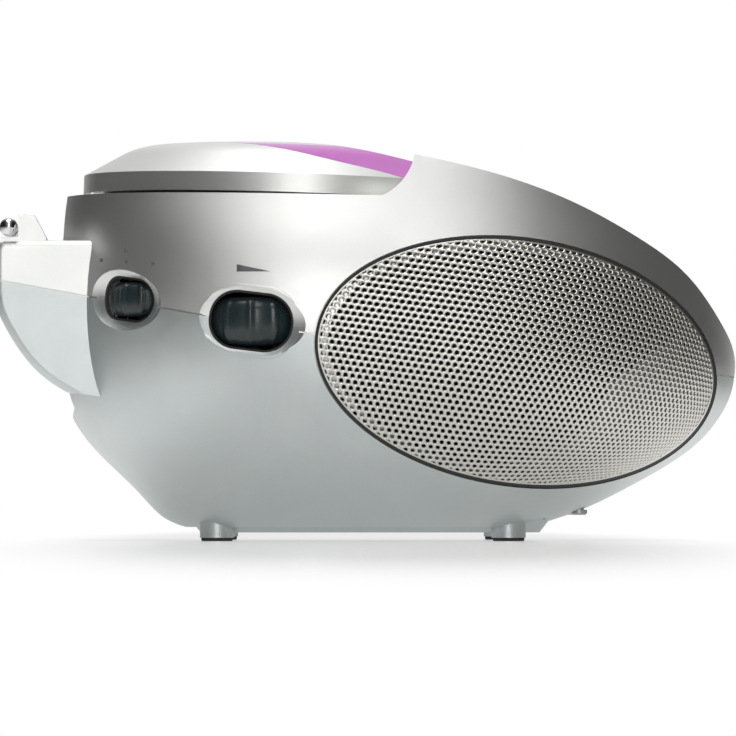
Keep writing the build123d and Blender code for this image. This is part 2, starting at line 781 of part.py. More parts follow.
def seam_groove():
    """The fine groove along the seam, all round the casing and the handle."""
    core = egg(SEAM_DEPTH) & side_profile(SEAM_DEPTH)
    grip_core = across_x(handle_profile(SEAM_DEPTH), HANDLE_HALF_WIDTH - SEAM_DEPTH)
    return below_seam(SEAM_WIDTH) - below_seam() - core - grip_core


def casing_outside():
    """The casing as one solid block, with its outer features."""
    feet = [
        Pos(side * FOOT_X, y, FOOT_PAD) * extrude(Circle(FOOT_RADIUS), amount=9)
        for side in (-1, 1)
        for y in FOOT_Y
    ]
    plinth = Pos(0, 0, PLINTH_Z) * extrude(plinth_face(), amount=PLINTH_RISE, taper=-38)
    outside = egg() & side_profile()
    outside += [handle_solid(), aerial_rest(), plinth] + feet
    hood_scoop = round_above_deck(0, LID_RADIUS + LID_GAP)
    outside -= [hood_scoop, seam_groove()] + grille_rebates()
    return outside


def casing_cavity():
    """The room inside the casing, less every rib, pad, post and wall that stands in it."""
    room = egg(WALL) & side_profile(WALL)
    room += [grille_prism(side, -GRILLE_LEDGE) for side in (-1, 1)]
    deck = slab((-110, 110), (HOOD_CREST[0] - 1, 130), (deck_z(0) - WALL, 140))
    kept = [deck, round_above_deck(WALL, LID_RADIUS + LID_GAP + WALL), slot_prism(WALL)]
    kept += [battery_bay()[0], well_ring(), inlet_pocket()[0]]
    kept += list(console_pads())
    kept += [screw_collar(x, y) for x, y in SCREW_PLACES]
    for x, y in BOARD_POSTS:
        kept.append(slab((x - 3, x + 3), (y - 3, y + 3), (BAY_DECK - 1, BOARD_Z)))
    for side in (-1, 1):
        kept.append(baffle(side))
        for control in (WHEELS, KNOBS):
            kept += [control.pad(side), control.post(side)]
    return room - kept


def casing_holes():
    """Everything that is cut through the wall or into it."""
    holes = [slot_prism(), battery_bay()[1], well_hole(), inlet_pocket()[1], hinge_trough()]
    holes += list(console_cuts())
    holes += [control.cutter(side) for side in (-1, 1) for control in (WHEELS, KNOBS)]
    for x, y in SCREW_PLACES:
        head = extrude(Circle(SCREW_HEAD_RADIUS + 0.2), amount=1 + SCREW_SEAT_Z)
        shank = extrude(Circle(SCREW_SHANK_RADIUS), amount=SCREW_SEAT_Z + SCREW_LENGTH)
        holes += [Pos(x, y, -1) * head, Pos(x, y, 0) * shank]
    stem = extrude(Circle(STEM_RADIUS + STEM_FIT), amount=STEM_DEPTH + 1)
    holes.append(Pos(AERIAL_X, AERIAL_Y, HANDLE_TOP - STEM_DEPTH) * stem)
    return holes


def build_casing():
    """Both halves of the casing, upper first."""
    whole = casing_outside() - ([casing_cavity()] + casing_holes())
    knuckle, pin_bore = hinge_knuckle()
    whole = whole + knuckle - pin_bore
    upper = whole - below_seam()
    lower = whole & below_seam()
    return upper, lower


def build_grille(side):
    """One domed grille, flush with the wall; its holes are too fine for this model."""
    return (grille_prism(side) & egg()) - egg(GRILLE_THICK)


def build_speaker(side):
    """Basket, paper cone and magnet of one loudspeaker."""
    place = speaker_place(side)
    throat = MAGNET_RADIUS - 2
    inner_rim = SPEAKER_RADIUS - SPEAKER_RIM
    rim = Pos(0, 0, -BASKET_THICK / 2) * (
        Cylinder(SPEAKER_RADIUS, BASKET_THICK) - Cylinder(inner_rim, 2 * BASKET_THICK)
    )
    deep = BASKET_DEPTH - BASKET_THICK
    outer = Pos(0, 0, -BASKET_THICK - deep / 2) * Cone(throat, inner_rim + BASKET_THICK, deep)
    inner = Pos(0, 0, -BASKET_THICK - deep / 2 + BASKET_THICK) * Cone(
        throat - BASKET_THICK, inner_rim, deep
    )
    basket = rim + (outer - inner)
    cone_deep = BASKET_DEPTH - 5
    surround = Pos(0, 0, -CONE_THICK / 2) * (
        Cylinder(inner_rim - 0.2, CONE_THICK) - Cylinder(inner_rim - 4, 2 * CONE_THICK)
    )
    shape = Cone(6, inner_rim - 3.5, cone_deep) - Pos(0, 0, CONE_THICK) * Cone(
        6 - CONE_THICK, inner_rim - 3.5, cone_deep
    )
    dome = Pos(0, 0, -cone_deep + 1.5) * Cylinder(8, 1.2)
    cone = surround + Pos(0, 0, -CONE_THICK - cone_deep / 2 + 0.2) * shape + dome
    magnet = Pos(0, 0, -BASKET_DEPTH - MAGNET_DEPTH / 2) * Cylinder(MAGNET_RADIUS, MAGNET_DEPTH)
    magnet = fillet(magnet.edges(), 0.8)
    return place * basket, place * cone, place * magnet


def build_well():
    """The round well that the disc lies in, with the slot for hub and lens."""
    floor_bottom = WELL_FLOOR - WELL_FLOOR_THICK
    top = deck_z(WELL_Y - WELL_RADIUS) - 0.3
    cup = extrude(Circle(WELL_RADIUS + WELL_WALL), amount=top - floor_bottom)
    cup -= Pos(0, 0, WELL_FLOOR_THICK) * extrude(Circle(WELL_RADIUS), amount=40)
    cup -= Cylinder(HUB_RADIUS + 1, 10)
    slot = Rectangle(WELL_SLOT_END, 2 * WELL_SLOT_HALF_WIDTH)
    cup -= Pos(WELL_SLOT_END / 2, 0, -1) * extrude(slot, amount=5)
    return Pos(0, WELL_Y, floor_bottom) * cup


def build_lid_shape(inset):
    """The closed form of the lid, drawn in by inset: band, sloping crown, low dome and slant."""
    radius = LID_RADIUS - inset
    crown_top = LID_BAND + LID_CROWN_RISE - inset
    outline = Polyline(
        (0, 0), (radius, 0), (radius, LID_BAND - 0.4 * inset), (radius - LID_CROWN, crown_top)
    )
    outline += ThreePointArc(
        (radius - LID_CROWN, crown_top),
        ((radius - LID_CROWN) * 0.52, crown_top + 0.73 * LID_DOME),
        (0, crown_top + LID_DOME),
    )
    outline += Line((0, crown_top + LID_DOME), (0, 0))
    section = make_face(outline)
    shoulder = section.vertices().sort_by_distance((radius - LID_CROWN, crown_top))[0]
    turned = revolve(Plane.XZ * fillet(shoulder, LID_CROWN_ROUND), Axis.Z)
    turned = Pos(0, LID_CENTRE_Y, LID_SEAT_Z) * Rot(LID_TILT, 0, 0) * turned
    slant = Spline(
        (LID_CENTRE_Y + 24, 124.6 - inset),
        (21.0, 121.8 - inset),
        (0.0, 118.2 - inset),
        (-11.3, 115.6 - inset),
        (-46.0, 107.0 - inset),
        tangents=((-1, -0.08), (-1, -0.28)),
    )
    slant += Polyline(
        (-46.0, 107.0 - inset),
        (-60.0, 103.0 - inset),
        (-60.0, 90.0),
        (110.0, 90.0),
        (110.0, 124.6 - inset),
        (LID_CENTRE_Y + 24, 124.6 - inset),
    )
    return turned & across_x(slant, LID_RADIUS + 5)


def lid_window_prism(grow=0.0):
    """The window's outline in plan, run upwards: round at the rear, straight to the front."""
    radius = LID_WINDOW_RADIUS + grow
    face = Pos(0, LID_WINDOW_Y) * Circle(radius)
    face += Pos(0, LID_WINDOW_Y - LID_RADIUS) * Rectangle(2 * radius, 2 * LID_RADIUS)
    low = Pos(0, LID_CENTRE_Y, LID_SEAT_Z) * Rot(LID_TILT, 0, 0) * Pos(0, 0, LID_BAND - 0.6 - grow)
    prism = Pos(0, 0, 90) * extrude(face, amount=60)
    return prism - low * Pos(0, 0, -50) * Box(400, 400, 100)


def build_lid():
    """The lid's frame and the window let into it."""
    outer, behind_pane = build_lid_shape(0), build_lid_shape(LID_WINDOW_THICK)
    hollow = build_lid_shape(LID_WALL) + Pos(0, LID_CENTRE_Y, LID_SEAT_Z - 5) * Rot(
        LID_TILT, 0, 0
    ) * Cylinder(LID_RADIUS - LID_WALL, 12)
    frame = outer - hollow
    frame -= lid_window_prism(LID_WINDOW_FIT)
    ledge = behind_pane - build_lid_shape(LID_WINDOW_THICK + 1.6)
    ledge = (ledge & lid_window_prism(1.0)) - lid_window_prism(-LID_WINDOW_SEAT)
    frame += ledge
    window = (outer & lid_window_prism()) - behind_pane
    axis = Pos(0, HINGE_Y, HINGE_Z) * Rot(0, 90, 0)
    for side in (-1, 1):
        middle = side * (KNUCKLE_HALF_WIDTH + EAR_FIT + EAR_WIDTH / 2)
        ear = Pos(middle, 0, 0) * axis * Cylinder(EAR_RADIUS, EAR_WIDTH)
        neck = slab(
            (middle - EAR_WIDTH / 2, middle + EAR_WIDTH / 2),
            (HINGE_Y - EAR_RADIUS, HINGE_Y + EAR_RADIUS),
            (HINGE_Z, HINGE_Z + 5),
        )
        frame += ear + (neck & outer)
    frame -= axis * Cylinder(PIN_RADIUS + PIN_FIT, 2 * (KNUCKLE_HALF_WIDTH + EAR_FIT + EAR_WIDTH) + 2)
    return frame, window


def build_hinge_pin():
    """The steel pin through knuckle and ears."""
    length = 2 * (KNUCKLE_HALF_WIDTH + EAR_FIT + EAR_WIDTH)
    return Pos(0, HINGE_Y, HINGE_Z) * Rot(0, 90, 0) * Cylinder(PIN_RADIUS, length)


def build_mechanism():
    """Plate, spindle motor, turntable, guide rods, pickup, pinion, its motor and the bushes."""
    plate_top = PLATE_Z + PLATE_THICK
    plate = slab(PLATE_REACH, (WELL_Y - PLATE_HALF_DEPTH, WELL_Y + PLATE_HALF_DEPTH), (PLATE_Z, plate_top))
    plate = fillet(plate.edges().filter_by(Axis.Z), 5)
    plate -= Pos(0, WELL_Y, PLATE_Z) * Cylinder(HUB_BOSS_RADIUS + 1, 10)
    rod_ys = (WELL_Y - ROD_SPREAD, WELL_Y + ROD_SPREAD)
    rods = []
    for y in rod_ys:
        for x in (ROD_REACH[0], ROD_REACH[1] - ROD_BLOCK):
            plate += slab((x, x + ROD_BLOCK), (y - 2.3, y + 2.3), (plate_top, ROD_Z + 0.9))
        middle = (ROD_REACH[0] + ROD_REACH[1]) / 2
        rod = Pos(middle, y, ROD_Z) * Rot(0, 90, 0) * Cylinder(ROD_RADIUS, ROD_REACH[1] - ROD_REACH[0])
        plate -= rod
        rods.append(rod)

    spindle = Pos(0, WELL_Y, PLATE_Z - SPINDLE_HEIGHT / 2) * Cylinder(SPINDLE_RADIUS, SPINDLE_HEIGHT)
    shaft_height = HUB_TOP + HUB_NOSE - 1 - PLATE_Z
    spindle += Pos(0, WELL_Y, PLATE_Z + shaft_height / 2) * Cylinder(SPINDLE_SHAFT, shaft_height)

    hub_bottom = HUB_TOP - HUB_THICK
    boss = hub_bottom - plate_top - 2
    hub = Pos(0, 0, hub_bottom + HUB_THICK / 2) * Cylinder(HUB_RADIUS, HUB_THICK)
    hub += Pos(0, 0, hub_bottom - boss / 2) * Cylinder(HUB_BOSS_RADIUS, boss)
    nose = Pos(0, 0, HUB_TOP + HUB_NOSE / 2) * Cylinder(HUB_NOSE_RADIUS, HUB_NOSE)
    hub += chamfer(nose.edges().group_by(Axis.Z)[-1], 1.2)
    hub = Pos(0, WELL_Y, 0) * hub - Pos(0, WELL_Y, HUB_TOP - 8) * Cylinder(SPINDLE_SHAFT + ROD_FIT, 40)

    sled = slab(
        (SLED_X - SLED_LENGTH / 2, SLED_X + SLED_LENGTH / 2),
        (WELL_Y - SLED_HALF_WIDTH, WELL_Y + SLED_HALF_WIDTH),
        (SLED_BOTTOM, SLED_TOP),
    )
    sled = chamfer(sled.edges().group_by(Axis.Z)[-1], 0.6)
    for y in rod_ys:
        sled -= Pos(SLED_X, y, ROD_Z) * Rot(0, 90, 0) * Cylinder(ROD_RADIUS + ROD_FIT, 2 * SLED_LENGTH)
    sled += build_rack()
    lens = Pos(SLED_X, WELL_Y, (SLED_TOP + LENS_TOP) / 2) * Cylinder(LENS_RADIUS, LENS_TOP - SLED_TOP)
    lens = chamfer(lens.edges().group_by(Axis.Z)[-1], 0.5)

    bushes = []
    bush_height = WELL_FLOOR - WELL_FLOOR_THICK - plate_top
    for x in BUSH_X:
        for y in (WELL_Y - BUSH_SPREAD, WELL_Y + BUSH_SPREAD):
            bush = Cylinder(BUSH_RADIUS, bush_height) - Cylinder(BUSH_RADIUS / 3, 2 * bush_height)
            bush -= Cylinder(BUSH_RADIUS + 1, 1.6) - Cylinder(BUSH_RADIUS - 1, 3)
            bushes.append(Pos(x, y, plate_top + bush_height / 2) * bush)

    pinion_y = RACK_Y + PINION_RADIUS
    motor = Pos(PINION_X, pinion_y, PLATE_Z - SLED_MOTOR_HEIGHT / 2) * Cylinder(
        SLED_MOTOR_RADIUS, SLED_MOTOR_HEIGHT
    )
    motor_shaft = plate_top + PINION_THICK + 0.4 - PLATE_Z
    motor += Pos(PINION_X, pinion_y, PLATE_Z + motor_shaft / 2) * Cylinder(SPINDLE_SHAFT, motor_shaft)
    plate -= Pos(PINION_X, pinion_y, PLATE_Z) * Cylinder(SPINDLE_SHAFT + 0.5, 10)
    return {
        "mechanism_plate": plate,
        "spindle_motor": spindle,
        "turntable_hub": hub,
        "guide_rods": Compound(rods),
        "pickup_sled": sled,
        "pickup_lens": lens,
        "mechanism_bushes": Compound(bushes),
        "sled_motor": motor,
        "sled_pinion": build_pinion(),
    }


TOOTH_PITCH = 2 * math.pi * PINION_RADIUS / PINION_TEETH
RACK_Y = WELL_Y + SLED_HALF_WIDTH + RACK_DEPTH - TOOTH_HALF_HEIGHT
PINION_Z = (PLATE_Z + PLATE_THICK + 0.3, PLATE_Z + PLATE_THICK + 0.3 + PINION_THICK)


def tooth(root, tip, root_half, tip_half):
    """One straight-sided tooth that points along +Y from root to tip."""
    corners = ((-root_half, root), (-tip_half, tip), (tip_half, tip), (root_half, root))
    return make_face(Polyline(*corners, close=True))


def build_rack():
    """The toothed strip on the sled's rear edge."""
    half = TOOTH_PITCH / 4 - TOOTH_BACKLASH / 2
    slope = TOOTH_HALF_HEIGHT * math.tan(math.radians(20))
    root, tip = RACK_Y - TOOTH_HALF_HEIGHT - 0.15, RACK_Y + TOOTH_HALF_HEIGHT
    back = WELL_Y + SLED_HALF_WIDTH - 0.6
    strip = Pos((RACK_REACH[0] + RACK_REACH[1]) / 2, (back + root) / 2) * Rectangle(
        RACK_REACH[1] - RACK_REACH[0], root - back
    )
    first = math.ceil((RACK_REACH[0] - PINION_X) / TOOTH_PITCH)
    last = math.floor((RACK_REACH[1] - PINION_X) / TOOTH_PITCH) - 1
    one = tooth(root - 0.05, tip, half + slope, half - slope)
    strip += [Pos(PINION_X + (step + 0.5) * TOOTH_PITCH, 0) * one for step in range(first, last + 1)]
    return Pos(0, 0, PINION_Z[0]) * extrude(strip, amount=PINION_THICK)


def build_pinion():
    """The small gear that drives the rack."""
    half = TOOTH_PITCH / 4 - TOOTH_BACKLASH / 2
    slope = TOOTH_HALF_HEIGHT * math.tan(math.radians(20))
    root = PINION_RADIUS - TOOTH_HALF_HEIGHT - 0.15
    one = tooth(root - 0.2, PINION_RADIUS + TOOTH_HALF_HEIGHT, half + slope, half - slope - 0.05)
    wheel = Circle(root)
    wheel += [Rot(0, 0, 180 + step * 360 / PINION_TEETH) * one for step in range(PINION_TEETH)]
    wheel -= Circle(SPINDLE_SHAFT + ROD_FIT)
    return Pos(PINION_X, RACK_Y + PINION_RADIUS, PINION_Z[0]) * extrude(wheel, amount=PINION_THICK)


def build_console():
    """Panel, display, five buttons with their board, and the tuning dial."""
    pieces = {}
    panel = rounded_plate(PANEL_SIZE, PANEL_CORNER, PANEL_BACK, -PANEL_SINK)
    window_seat = -PANEL_SINK - DISPLAY_THICK
    display = Pos(0, DISPLAY_UP, 0)
    panel -= display * rounded_plate(grown(DISPLAY_SIZE, PANEL_FIT), 2, window_seat, 5)
    panel -= display * rounded_plate(grown(DISPLAY_SIZE, -DISPLAY_RIM), 1, -10, 5)
    for x in (-PANEL_POST[0], PANEL_POST[0]):
        for y in (-PANEL_POST[1], PANEL_POST[1]):
            panel += Pos(x, y, PANEL_BACK - BOARD_DEPTH / 2) * Cylinder(PANEL_POST_RADIUS, BOARD_DEPTH)
    board_size = grown(PANEL_SIZE, -PANEL_LEDGE - 1)
    board = rounded_plate(board_size, 2, CONSOLE_BOARD_TOP - BOARD_THICK, CONSOLE_BOARD_TOP)
    switch_top = CONSOLE_BOARD_TOP + SWITCH_HEIGHT
    corner = BUTTON_SIZE[1] / 2 - 0.05
    for index, name in enumerate(BUTTON_NAMES):
        spot = Pos((index - (len(BUTTON_NAMES) - 1) / 2) * BUTTON_PITCH, -BUTTON_DOWN, 0)
        hole = rounded_plate(grown(BUTTON_SIZE, BUTTON_FIT), corner + BUTTON_FIT, -10, 5)
        panel -= spot * hole
        board += spot * Pos(0, 0, CONSOLE_BOARD_TOP + SWITCH_HEIGHT / 2) * Box(
            SWITCH_SIZE, SWITCH_SIZE, SWITCH_HEIGHT
        )
        cap = rounded_plate(BUTTON_SIZE, corner, PANEL_BACK - BUTTON_FLANGE, BUTTON_PROUD - PANEL_SINK)
        cap = fillet(cap.edges().group_by(Axis.Z)[-1], 0.6)
        flange_top = PANEL_BACK - 0.05
        cap += rounded_plate(grown(BUTTON_SIZE, 1), corner, flange_top - BUTTON_FLANGE, flange_top)
        stem_end = switch_top + BUTTON_TRAVEL + 0.05
        stem = flange_top - BUTTON_FLANGE - stem_end
        cap += Pos(0, 0, stem_end + stem / 2) * Cylinder(1.5, stem)
        pieces[name] = CONSOLE * spot * cap
    pieces["control_panel"] = CONSOLE * panel
    pieces["console_board"] = CONSOLE * board
    pane = rounded_plate(DISPLAY_SIZE, 2, window_seat, -PANEL_SINK)
    pieces["display_window"] = CONSOLE * display * pane
    module_top = PANEL_BACK - 0.3
    module = rounded_plate(grown(DISPLAY_SIZE, -0.5), 1, CONSOLE_BOARD_TOP, module_top)
    pieces["display_module"] = CONSOLE * display * module

    pieces["dial_window"] = DIAL * rounded_plate(DIAL_SIZE, DIAL_CORNER, -DIAL_WINDOW_THICK, 0)
    scale_top = DIAL_BACK
    scale = rounded_plate(DIAL_SIZE, DIAL_CORNER, scale_top - DIAL_SCALE_THICK, scale_top)
    pieces["dial_scale"] = DIAL * scale
    pointer_bottom = scale_top + POINTER_GAP
    pointer_size = (POINTER_WIDTH, DIAL_SIZE[1] - 2 * DIAL_SEAT - 0.6)
    pointer = rounded_plate(pointer_size, 0.4, pointer_bottom, pointer_bottom + POINTER_THICK)
    pieces["dial_pointer"] = DIAL * pointer
    return pieces


BUTTON_NAMES = ("stop_button", "back_button", "play_button", "forward_button", "program_button")


def build_door():
    """The battery door with its two pivots at the rear end."""
    door = slab(
        (-DOOR_HALF_WIDTH, DOOR_HALF_WIDTH),
        (-DOOR_HALF_LENGTH, DOOR_HALF_LENGTH),
        (PLINTH_Z, PLINTH_Z + DOOR_THICK),
    )
    ends = [edge for edge in door.edges().filter_by(Axis.X) if edge.center().Y > 0]
    door = fillet(ends, 0.9)
    rib_y = DOOR_HALF_LENGTH - 8
    for x in (-BAY_HALF_WIDTH / 3, BAY_HALF_WIDTH / 3):
        door += slab((x - 0.6, x + 0.6), (-rib_y, rib_y), (PLINTH_Z + DOOR_THICK - 0.5, BAY_FLOOR - 0.6))
    pull = Pos(0, -DOOR_HALF_LENGTH + 7, PLINTH_Z) * Rot(0, 90, 0) * Cylinder(1.2, 18)
    door -= pull
    length = 2 * (DOOR_HALF_WIDTH + DOOR_PIVOT_LENGTH)
    pivot = Pos(0, DOOR_PIVOT_Y, DOOR_PIVOT_Z) * Rot(0, 90, 0) * Cylinder(DOOR_PIVOT_RADIUS, length)
    return door + pivot


def build_contacts():
    """Spring contacts at one end of each column of cells and button contacts at the other."""
    pieces = []
    middle_z = BAY_FLOOR + BAY_HEIGHT / 2
    for column in range(CELL_COLUMNS):
        x = (column - (CELL_COLUMNS - 1) / 2) * 2 * CELL_RADIUS
        for end in (-1, 1):
            wall = end * BAY_HALF_LENGTH
            plate = Pos(0, 0, CONTACT_THICK / 2) * Box(CONTACT_SIZE, CONTACT_SIZE, CONTACT_THICK)
            if end < 0:
                plate += Pos(0, 0, CELL_ROOM / 2) * Cone(4.5, 2.5, CELL_ROOM)
            else:
                plate += Pos(0, 0, CONTACT_THICK) * Cylinder(3, 2 * CONTACT_THICK)
            pieces.append(Pos(x, wall, middle_z) * Rot(90 * end, 0, 0) * plate)
    return Compound(pieces)


def build_electronics():
    """Main board with its larger components, transformer and mains inlet."""
    width, depth = MAIN_BOARD
    board = slab(
        (-width / 2, width / 2),
        (MAIN_BOARD_Y - depth / 2, MAIN_BOARD_Y + depth / 2),
        (BOARD_Z, BOARD_Z + BOARD_THICK),
    )
    top = BOARD_Z + BOARD_THICK
    for x in (-20.0, -8.0, 4.0, 16.0):
        board += Pos(x, MAIN_BOARD_Y + 18, top + 5) * Box(8, 8, 10)
    for x, radius, height in ((-38.0, 6.5, 18.0), (-20.0, 4.0, 12.0), (38.0, 4.0, 12.0)):
        board += Pos(x, MAIN_BOARD_Y - 16, top + height / 2) * Cylinder(radius, height)
    board += Pos(14, MAIN_BOARD_Y - 4, top + 1.5) * Box(24, 9, 3)

    w, d, h = TRANSFORMER
    base = BAY_DECK
    core = Pos(0, TRANSFORMER_Y, base + h / 2) * Box(w, d * 0.5, h)
    coil = Pos(0, TRANSFORMER_Y, base + h / 2) * Box(w * 0.6, d, h * 0.62)
    feet = slab((-w / 2 - 6, w / 2 + 6), (TRANSFORMER_Y - d / 4, TRANSFORMER_Y + d / 4), (base, base + 1.2))
    transformer = core + fillet(coil.edges(), 2) + feet

    width, depth, height = INLET_SIZE
    inlet = Box(width, depth, height)
    socket_w, socket_h, socket_d = INLET_SOCKET
    socket = Plane.XZ * SlotOverall(socket_w, socket_h)
    inlet -= Pos(0, depth / 2, 0) * extrude(socket, amount=socket_d, both=True)
    pin_length = socket_d - 5
    for side in (-1, 1):
        pin = Rot(90, 0, 0) * Cylinder(INLET_PIN_RADIUS, pin_length)
        inlet += Pos(side * INLET_PIN_SPREAD, depth / 2 - socket_d + pin_length / 2, 0) * pin
    return board, transformer, Pos(INLET_X, INLET_FACE_Y - depth / 2, INLET_Z) * inlet


def build_aerial():
    """Plate, swivel and telescopic tubes, folded along the handle."""
    pieces = {}
    plate = slab(
        (AERIAL_X - AERIAL_PLATE / 2, AERIAL_X + AERIAL_PLATE / 2),
        (AERIAL_Y - AERIAL_PLATE + 4, AERIAL_Y + 4),
        (HANDLE_TOP, HANDLE_TOP + AERIAL_PLATE_THICK),
    )
    plate = fillet(plate.edges().filter_by(Axis.Z), 3)
    stem_axis = Pos(AERIAL_X, AERIAL_Y, 0)
    pieces["aerial_plate"] = plate - stem_axis * Pos(0, 0, HANDLE_TOP) * Cylinder(STEM_RADIUS + STEM_FIT, 5)

    head_bottom = HANDLE_TOP + AERIAL_PLATE_THICK + 0.05
    head_top = head_bottom + SWIVEL_THICK
    stem_bottom = HANDLE_TOP - STEM_DEPTH + 0.2
    swivel = Pos(0, 0, (head_bottom + head_top) / 2) * Cylinder(SWIVEL_RADIUS, SWIVEL_THICK)
    swivel += Pos(0, 0, (stem_bottom + head_bottom) / 2) * Cylinder(STEM_RADIUS, head_bottom - stem_bottom)
    cheek_top = AERIAL_Z + TONGUE_RADIUS + 0.3
    for side in (-1, 1):
        inner, outer = side * CHEEK_OFFSET, side * (CHEEK_OFFSET + CHEEK_THICK)
        low, high = min(inner, outer), max(inner, outer)
        cheek = slab((-CHEEK_HALF_LENGTH, CHEEK_HALF_LENGTH), (low, high), (head_top - 0.1, cheek_top))
        top_edges = [e for e in cheek.edges().filter_by(Axis.Y) if e.center().Z > AERIAL_Z]
        swivel += fillet(top_edges, 1.8)
    elbow = Pos(0, 0, AERIAL_Z) * Rot(90, 0, 0)
    swivel += elbow * Cylinder(ELBOW_PIN_RADIUS, 2 * (CHEEK_OFFSET + CHEEK_THICK))
    pieces["aerial_swivel"] = stem_axis * swivel

    tongue = elbow * Cylinder(TONGUE_RADIUS, 2 * CHEEK_OFFSET - 0.2)
    tongue += slab(
        (-TONGUE_LENGTH - 1, 0),
        (0.1 - CHEEK_OFFSET, CHEEK_OFFSET - 0.1),
        (AERIAL_Z - TONGUE_RADIUS, AERIAL_Z + TONGUE_RADIUS),
    )
    tongue -= elbow * Cylinder(ELBOW_PIN_RADIUS + STEM_FIT, 10)
    root = -TONGUE_LENGTH
    for index in range(TUBE_COUNT):
        radius = TUBE_RADIUS - index * (TUBE_WALL + TUBE_FIT)
        start = root - index * (TUBE_END + TUBE_FIT)
        end = root - TUBE_LENGTH - index * TUBE_STEP_OUT
        tube = rod_along(start, end, radius)
        tube -= rod_along(start - TUBE_END, end - 1, radius - TUBE_WALL)
        if index == 0:
            tube += stem_axis * tongue - rod_along(start, end, radius - 0.1)
        pieces[f"aerial_tube_{index + 1}"] = tube
    tip_radius = TUBE_RADIUS - TUBE_COUNT * (TUBE_WALL + TUBE_FIT)
    tip_start = AERIAL_X + root - TUBE_COUNT * (TUBE_END + TUBE_FIT)
    pieces["aerial_tip"] = Pos(0, AERIAL_Y, AERIAL_Z) * tip_rod(tip_start, tip_radius)
    return pieces


def tip_rod(start, radius):
    """The thin end with its ball, turned about the X axis."""
    neck = (BALL_X + math.sqrt(BALL_RADIUS**2 - radius**2), radius)
    outline = Polyline((BALL_X - BALL_RADIUS, 0), (start, 0), (start, radius), neck)
    outline += ThreePointArc(neck, (BALL_X, BALL_RADIUS), (BALL_X - BALL_RADIUS, 0))
    return revolve(make_face(outline), Axis.X)


def rod_along(start, end, radius):
    """A rod along -X on the aerial's line, between two distances from the swivel."""
    middle = AERIAL_X + (start + end) / 2
    return Pos(middle, AERIAL_Y, AERIAL_Z) * Rot(0, 90, 0) * Cylinder(radius, abs(end - start))


def build_screws():
    """The casing screws, seated in their collars."""
    pieces = []
    for x, y in SCREW_PLACES:
        head = Pos(0, 0, -SCREW_HEAD / 2) * Cylinder(SCREW_HEAD_RADIUS, SCREW_HEAD)
        head = chamfer(head.edges().group_by(Axis.Z)[0], 0.5)
        head -= Pos(0, 0, -SCREW_HEAD) * (Box(3, 0.7, 1.2) + Box(0.7, 3, 1.2))
        shank = Pos(0, 0, SCREW_LENGTH / 2) * Cylinder(SCREW_SHANK_RADIUS, SCREW_LENGTH)
        pieces.append(Pos(x, y, SCREW_SEAT_Z) * (head + shank))
    return Compound(pieces)


def build_feet():
    """The thin pads under the four feet."""
    pads = []
    for x in (-FOOT_X, FOOT_X):
        for y in FOOT_Y:
            pad = extrude(Circle(FOOT_RADIUS - 0.4), amount=FOOT_PAD)
            pads.append(Pos(x, y, 0) * chamfer(pad.edges().group_by(Axis.Z)[0], 0.3))
    return Compound(pads)


def build_controls():
    """Both side wheels and both knobs, with the controls that they turn."""
    pot = Cylinder(POT_RADIUS, POT_HEIGHT)
    tuner = Box(TUNER_SIDE, TUNER_SIDE, POT_HEIGHT)
    switch = Box(*SWITCH_BODY, POT_HEIGHT)
    return {
        "volume_wheel": WHEELS.wheel(-1),
        "volume_pot": WHEELS.control(-1, pot),
        "tuning_wheel": WHEELS.wheel(1),
        "tuning_capacitor": WHEELS.control(1, tuner),
        "function_knob": KNOBS.wheel(-1),
        "function_switch": KNOBS.control(-1, switch),
        "band_knob": KNOBS.wheel(1),
        "band_switch": KNOBS.control(1, switch),
    }


def build_all():
    """Every piece by its node name."""
    pieces = {}
    pieces["upper_case"], pieces["lower_case"] = build_casing()
    for side, name in ((-1, "left"), (1, "right")):
        pieces[f"{name}_grille"] = build_grille(side)
        basket, cone, magnet = build_speaker(side)
        pieces[f"{name}_speaker_basket"] = basket
        pieces[f"{name}_speaker_cone"] = cone
        pieces[f"{name}_speaker_magnet"] = magnet
    pieces["lid_frame"], pieces["lid_window"] = build_lid()
    pieces["lid_hinge_pin"] = build_hinge_pin()
    pieces["disc_well"] = build_well()
    pieces.update(build_mechanism())
    pieces.update(build_controls())
    pieces.update(build_console())
    pieces["battery_door"] = build_door()
    pieces["battery_contacts"] = build_contacts()
    pieces["main_board"], pieces["transformer"], pieces["mains_inlet"] = build_electronics()
    pieces.update(build_aerial())
    pieces["case_screws"] = build_screws()
    pieces["foot_pads"] = build_feet()
    return pieces


if __name__ == "__main__":
    os.makedirs("parts", exist_ok=True)
    for node, solid in build_all().items():
        export_step(solid, f"parts/{node}.step")
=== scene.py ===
"""Looks of a small egg-shaped disc radio: finishes, grilles, wheels, window lips, print and stage."""

from __future__ import annotations

import json
import logging
import math
from collections.abc import Iterable
from dataclasses import dataclass
from enum import Enum

import bmesh
import bpy
import numpy as np
from mathutils import Matrix, Vector
from mathutils.bvhtree import BVHTree

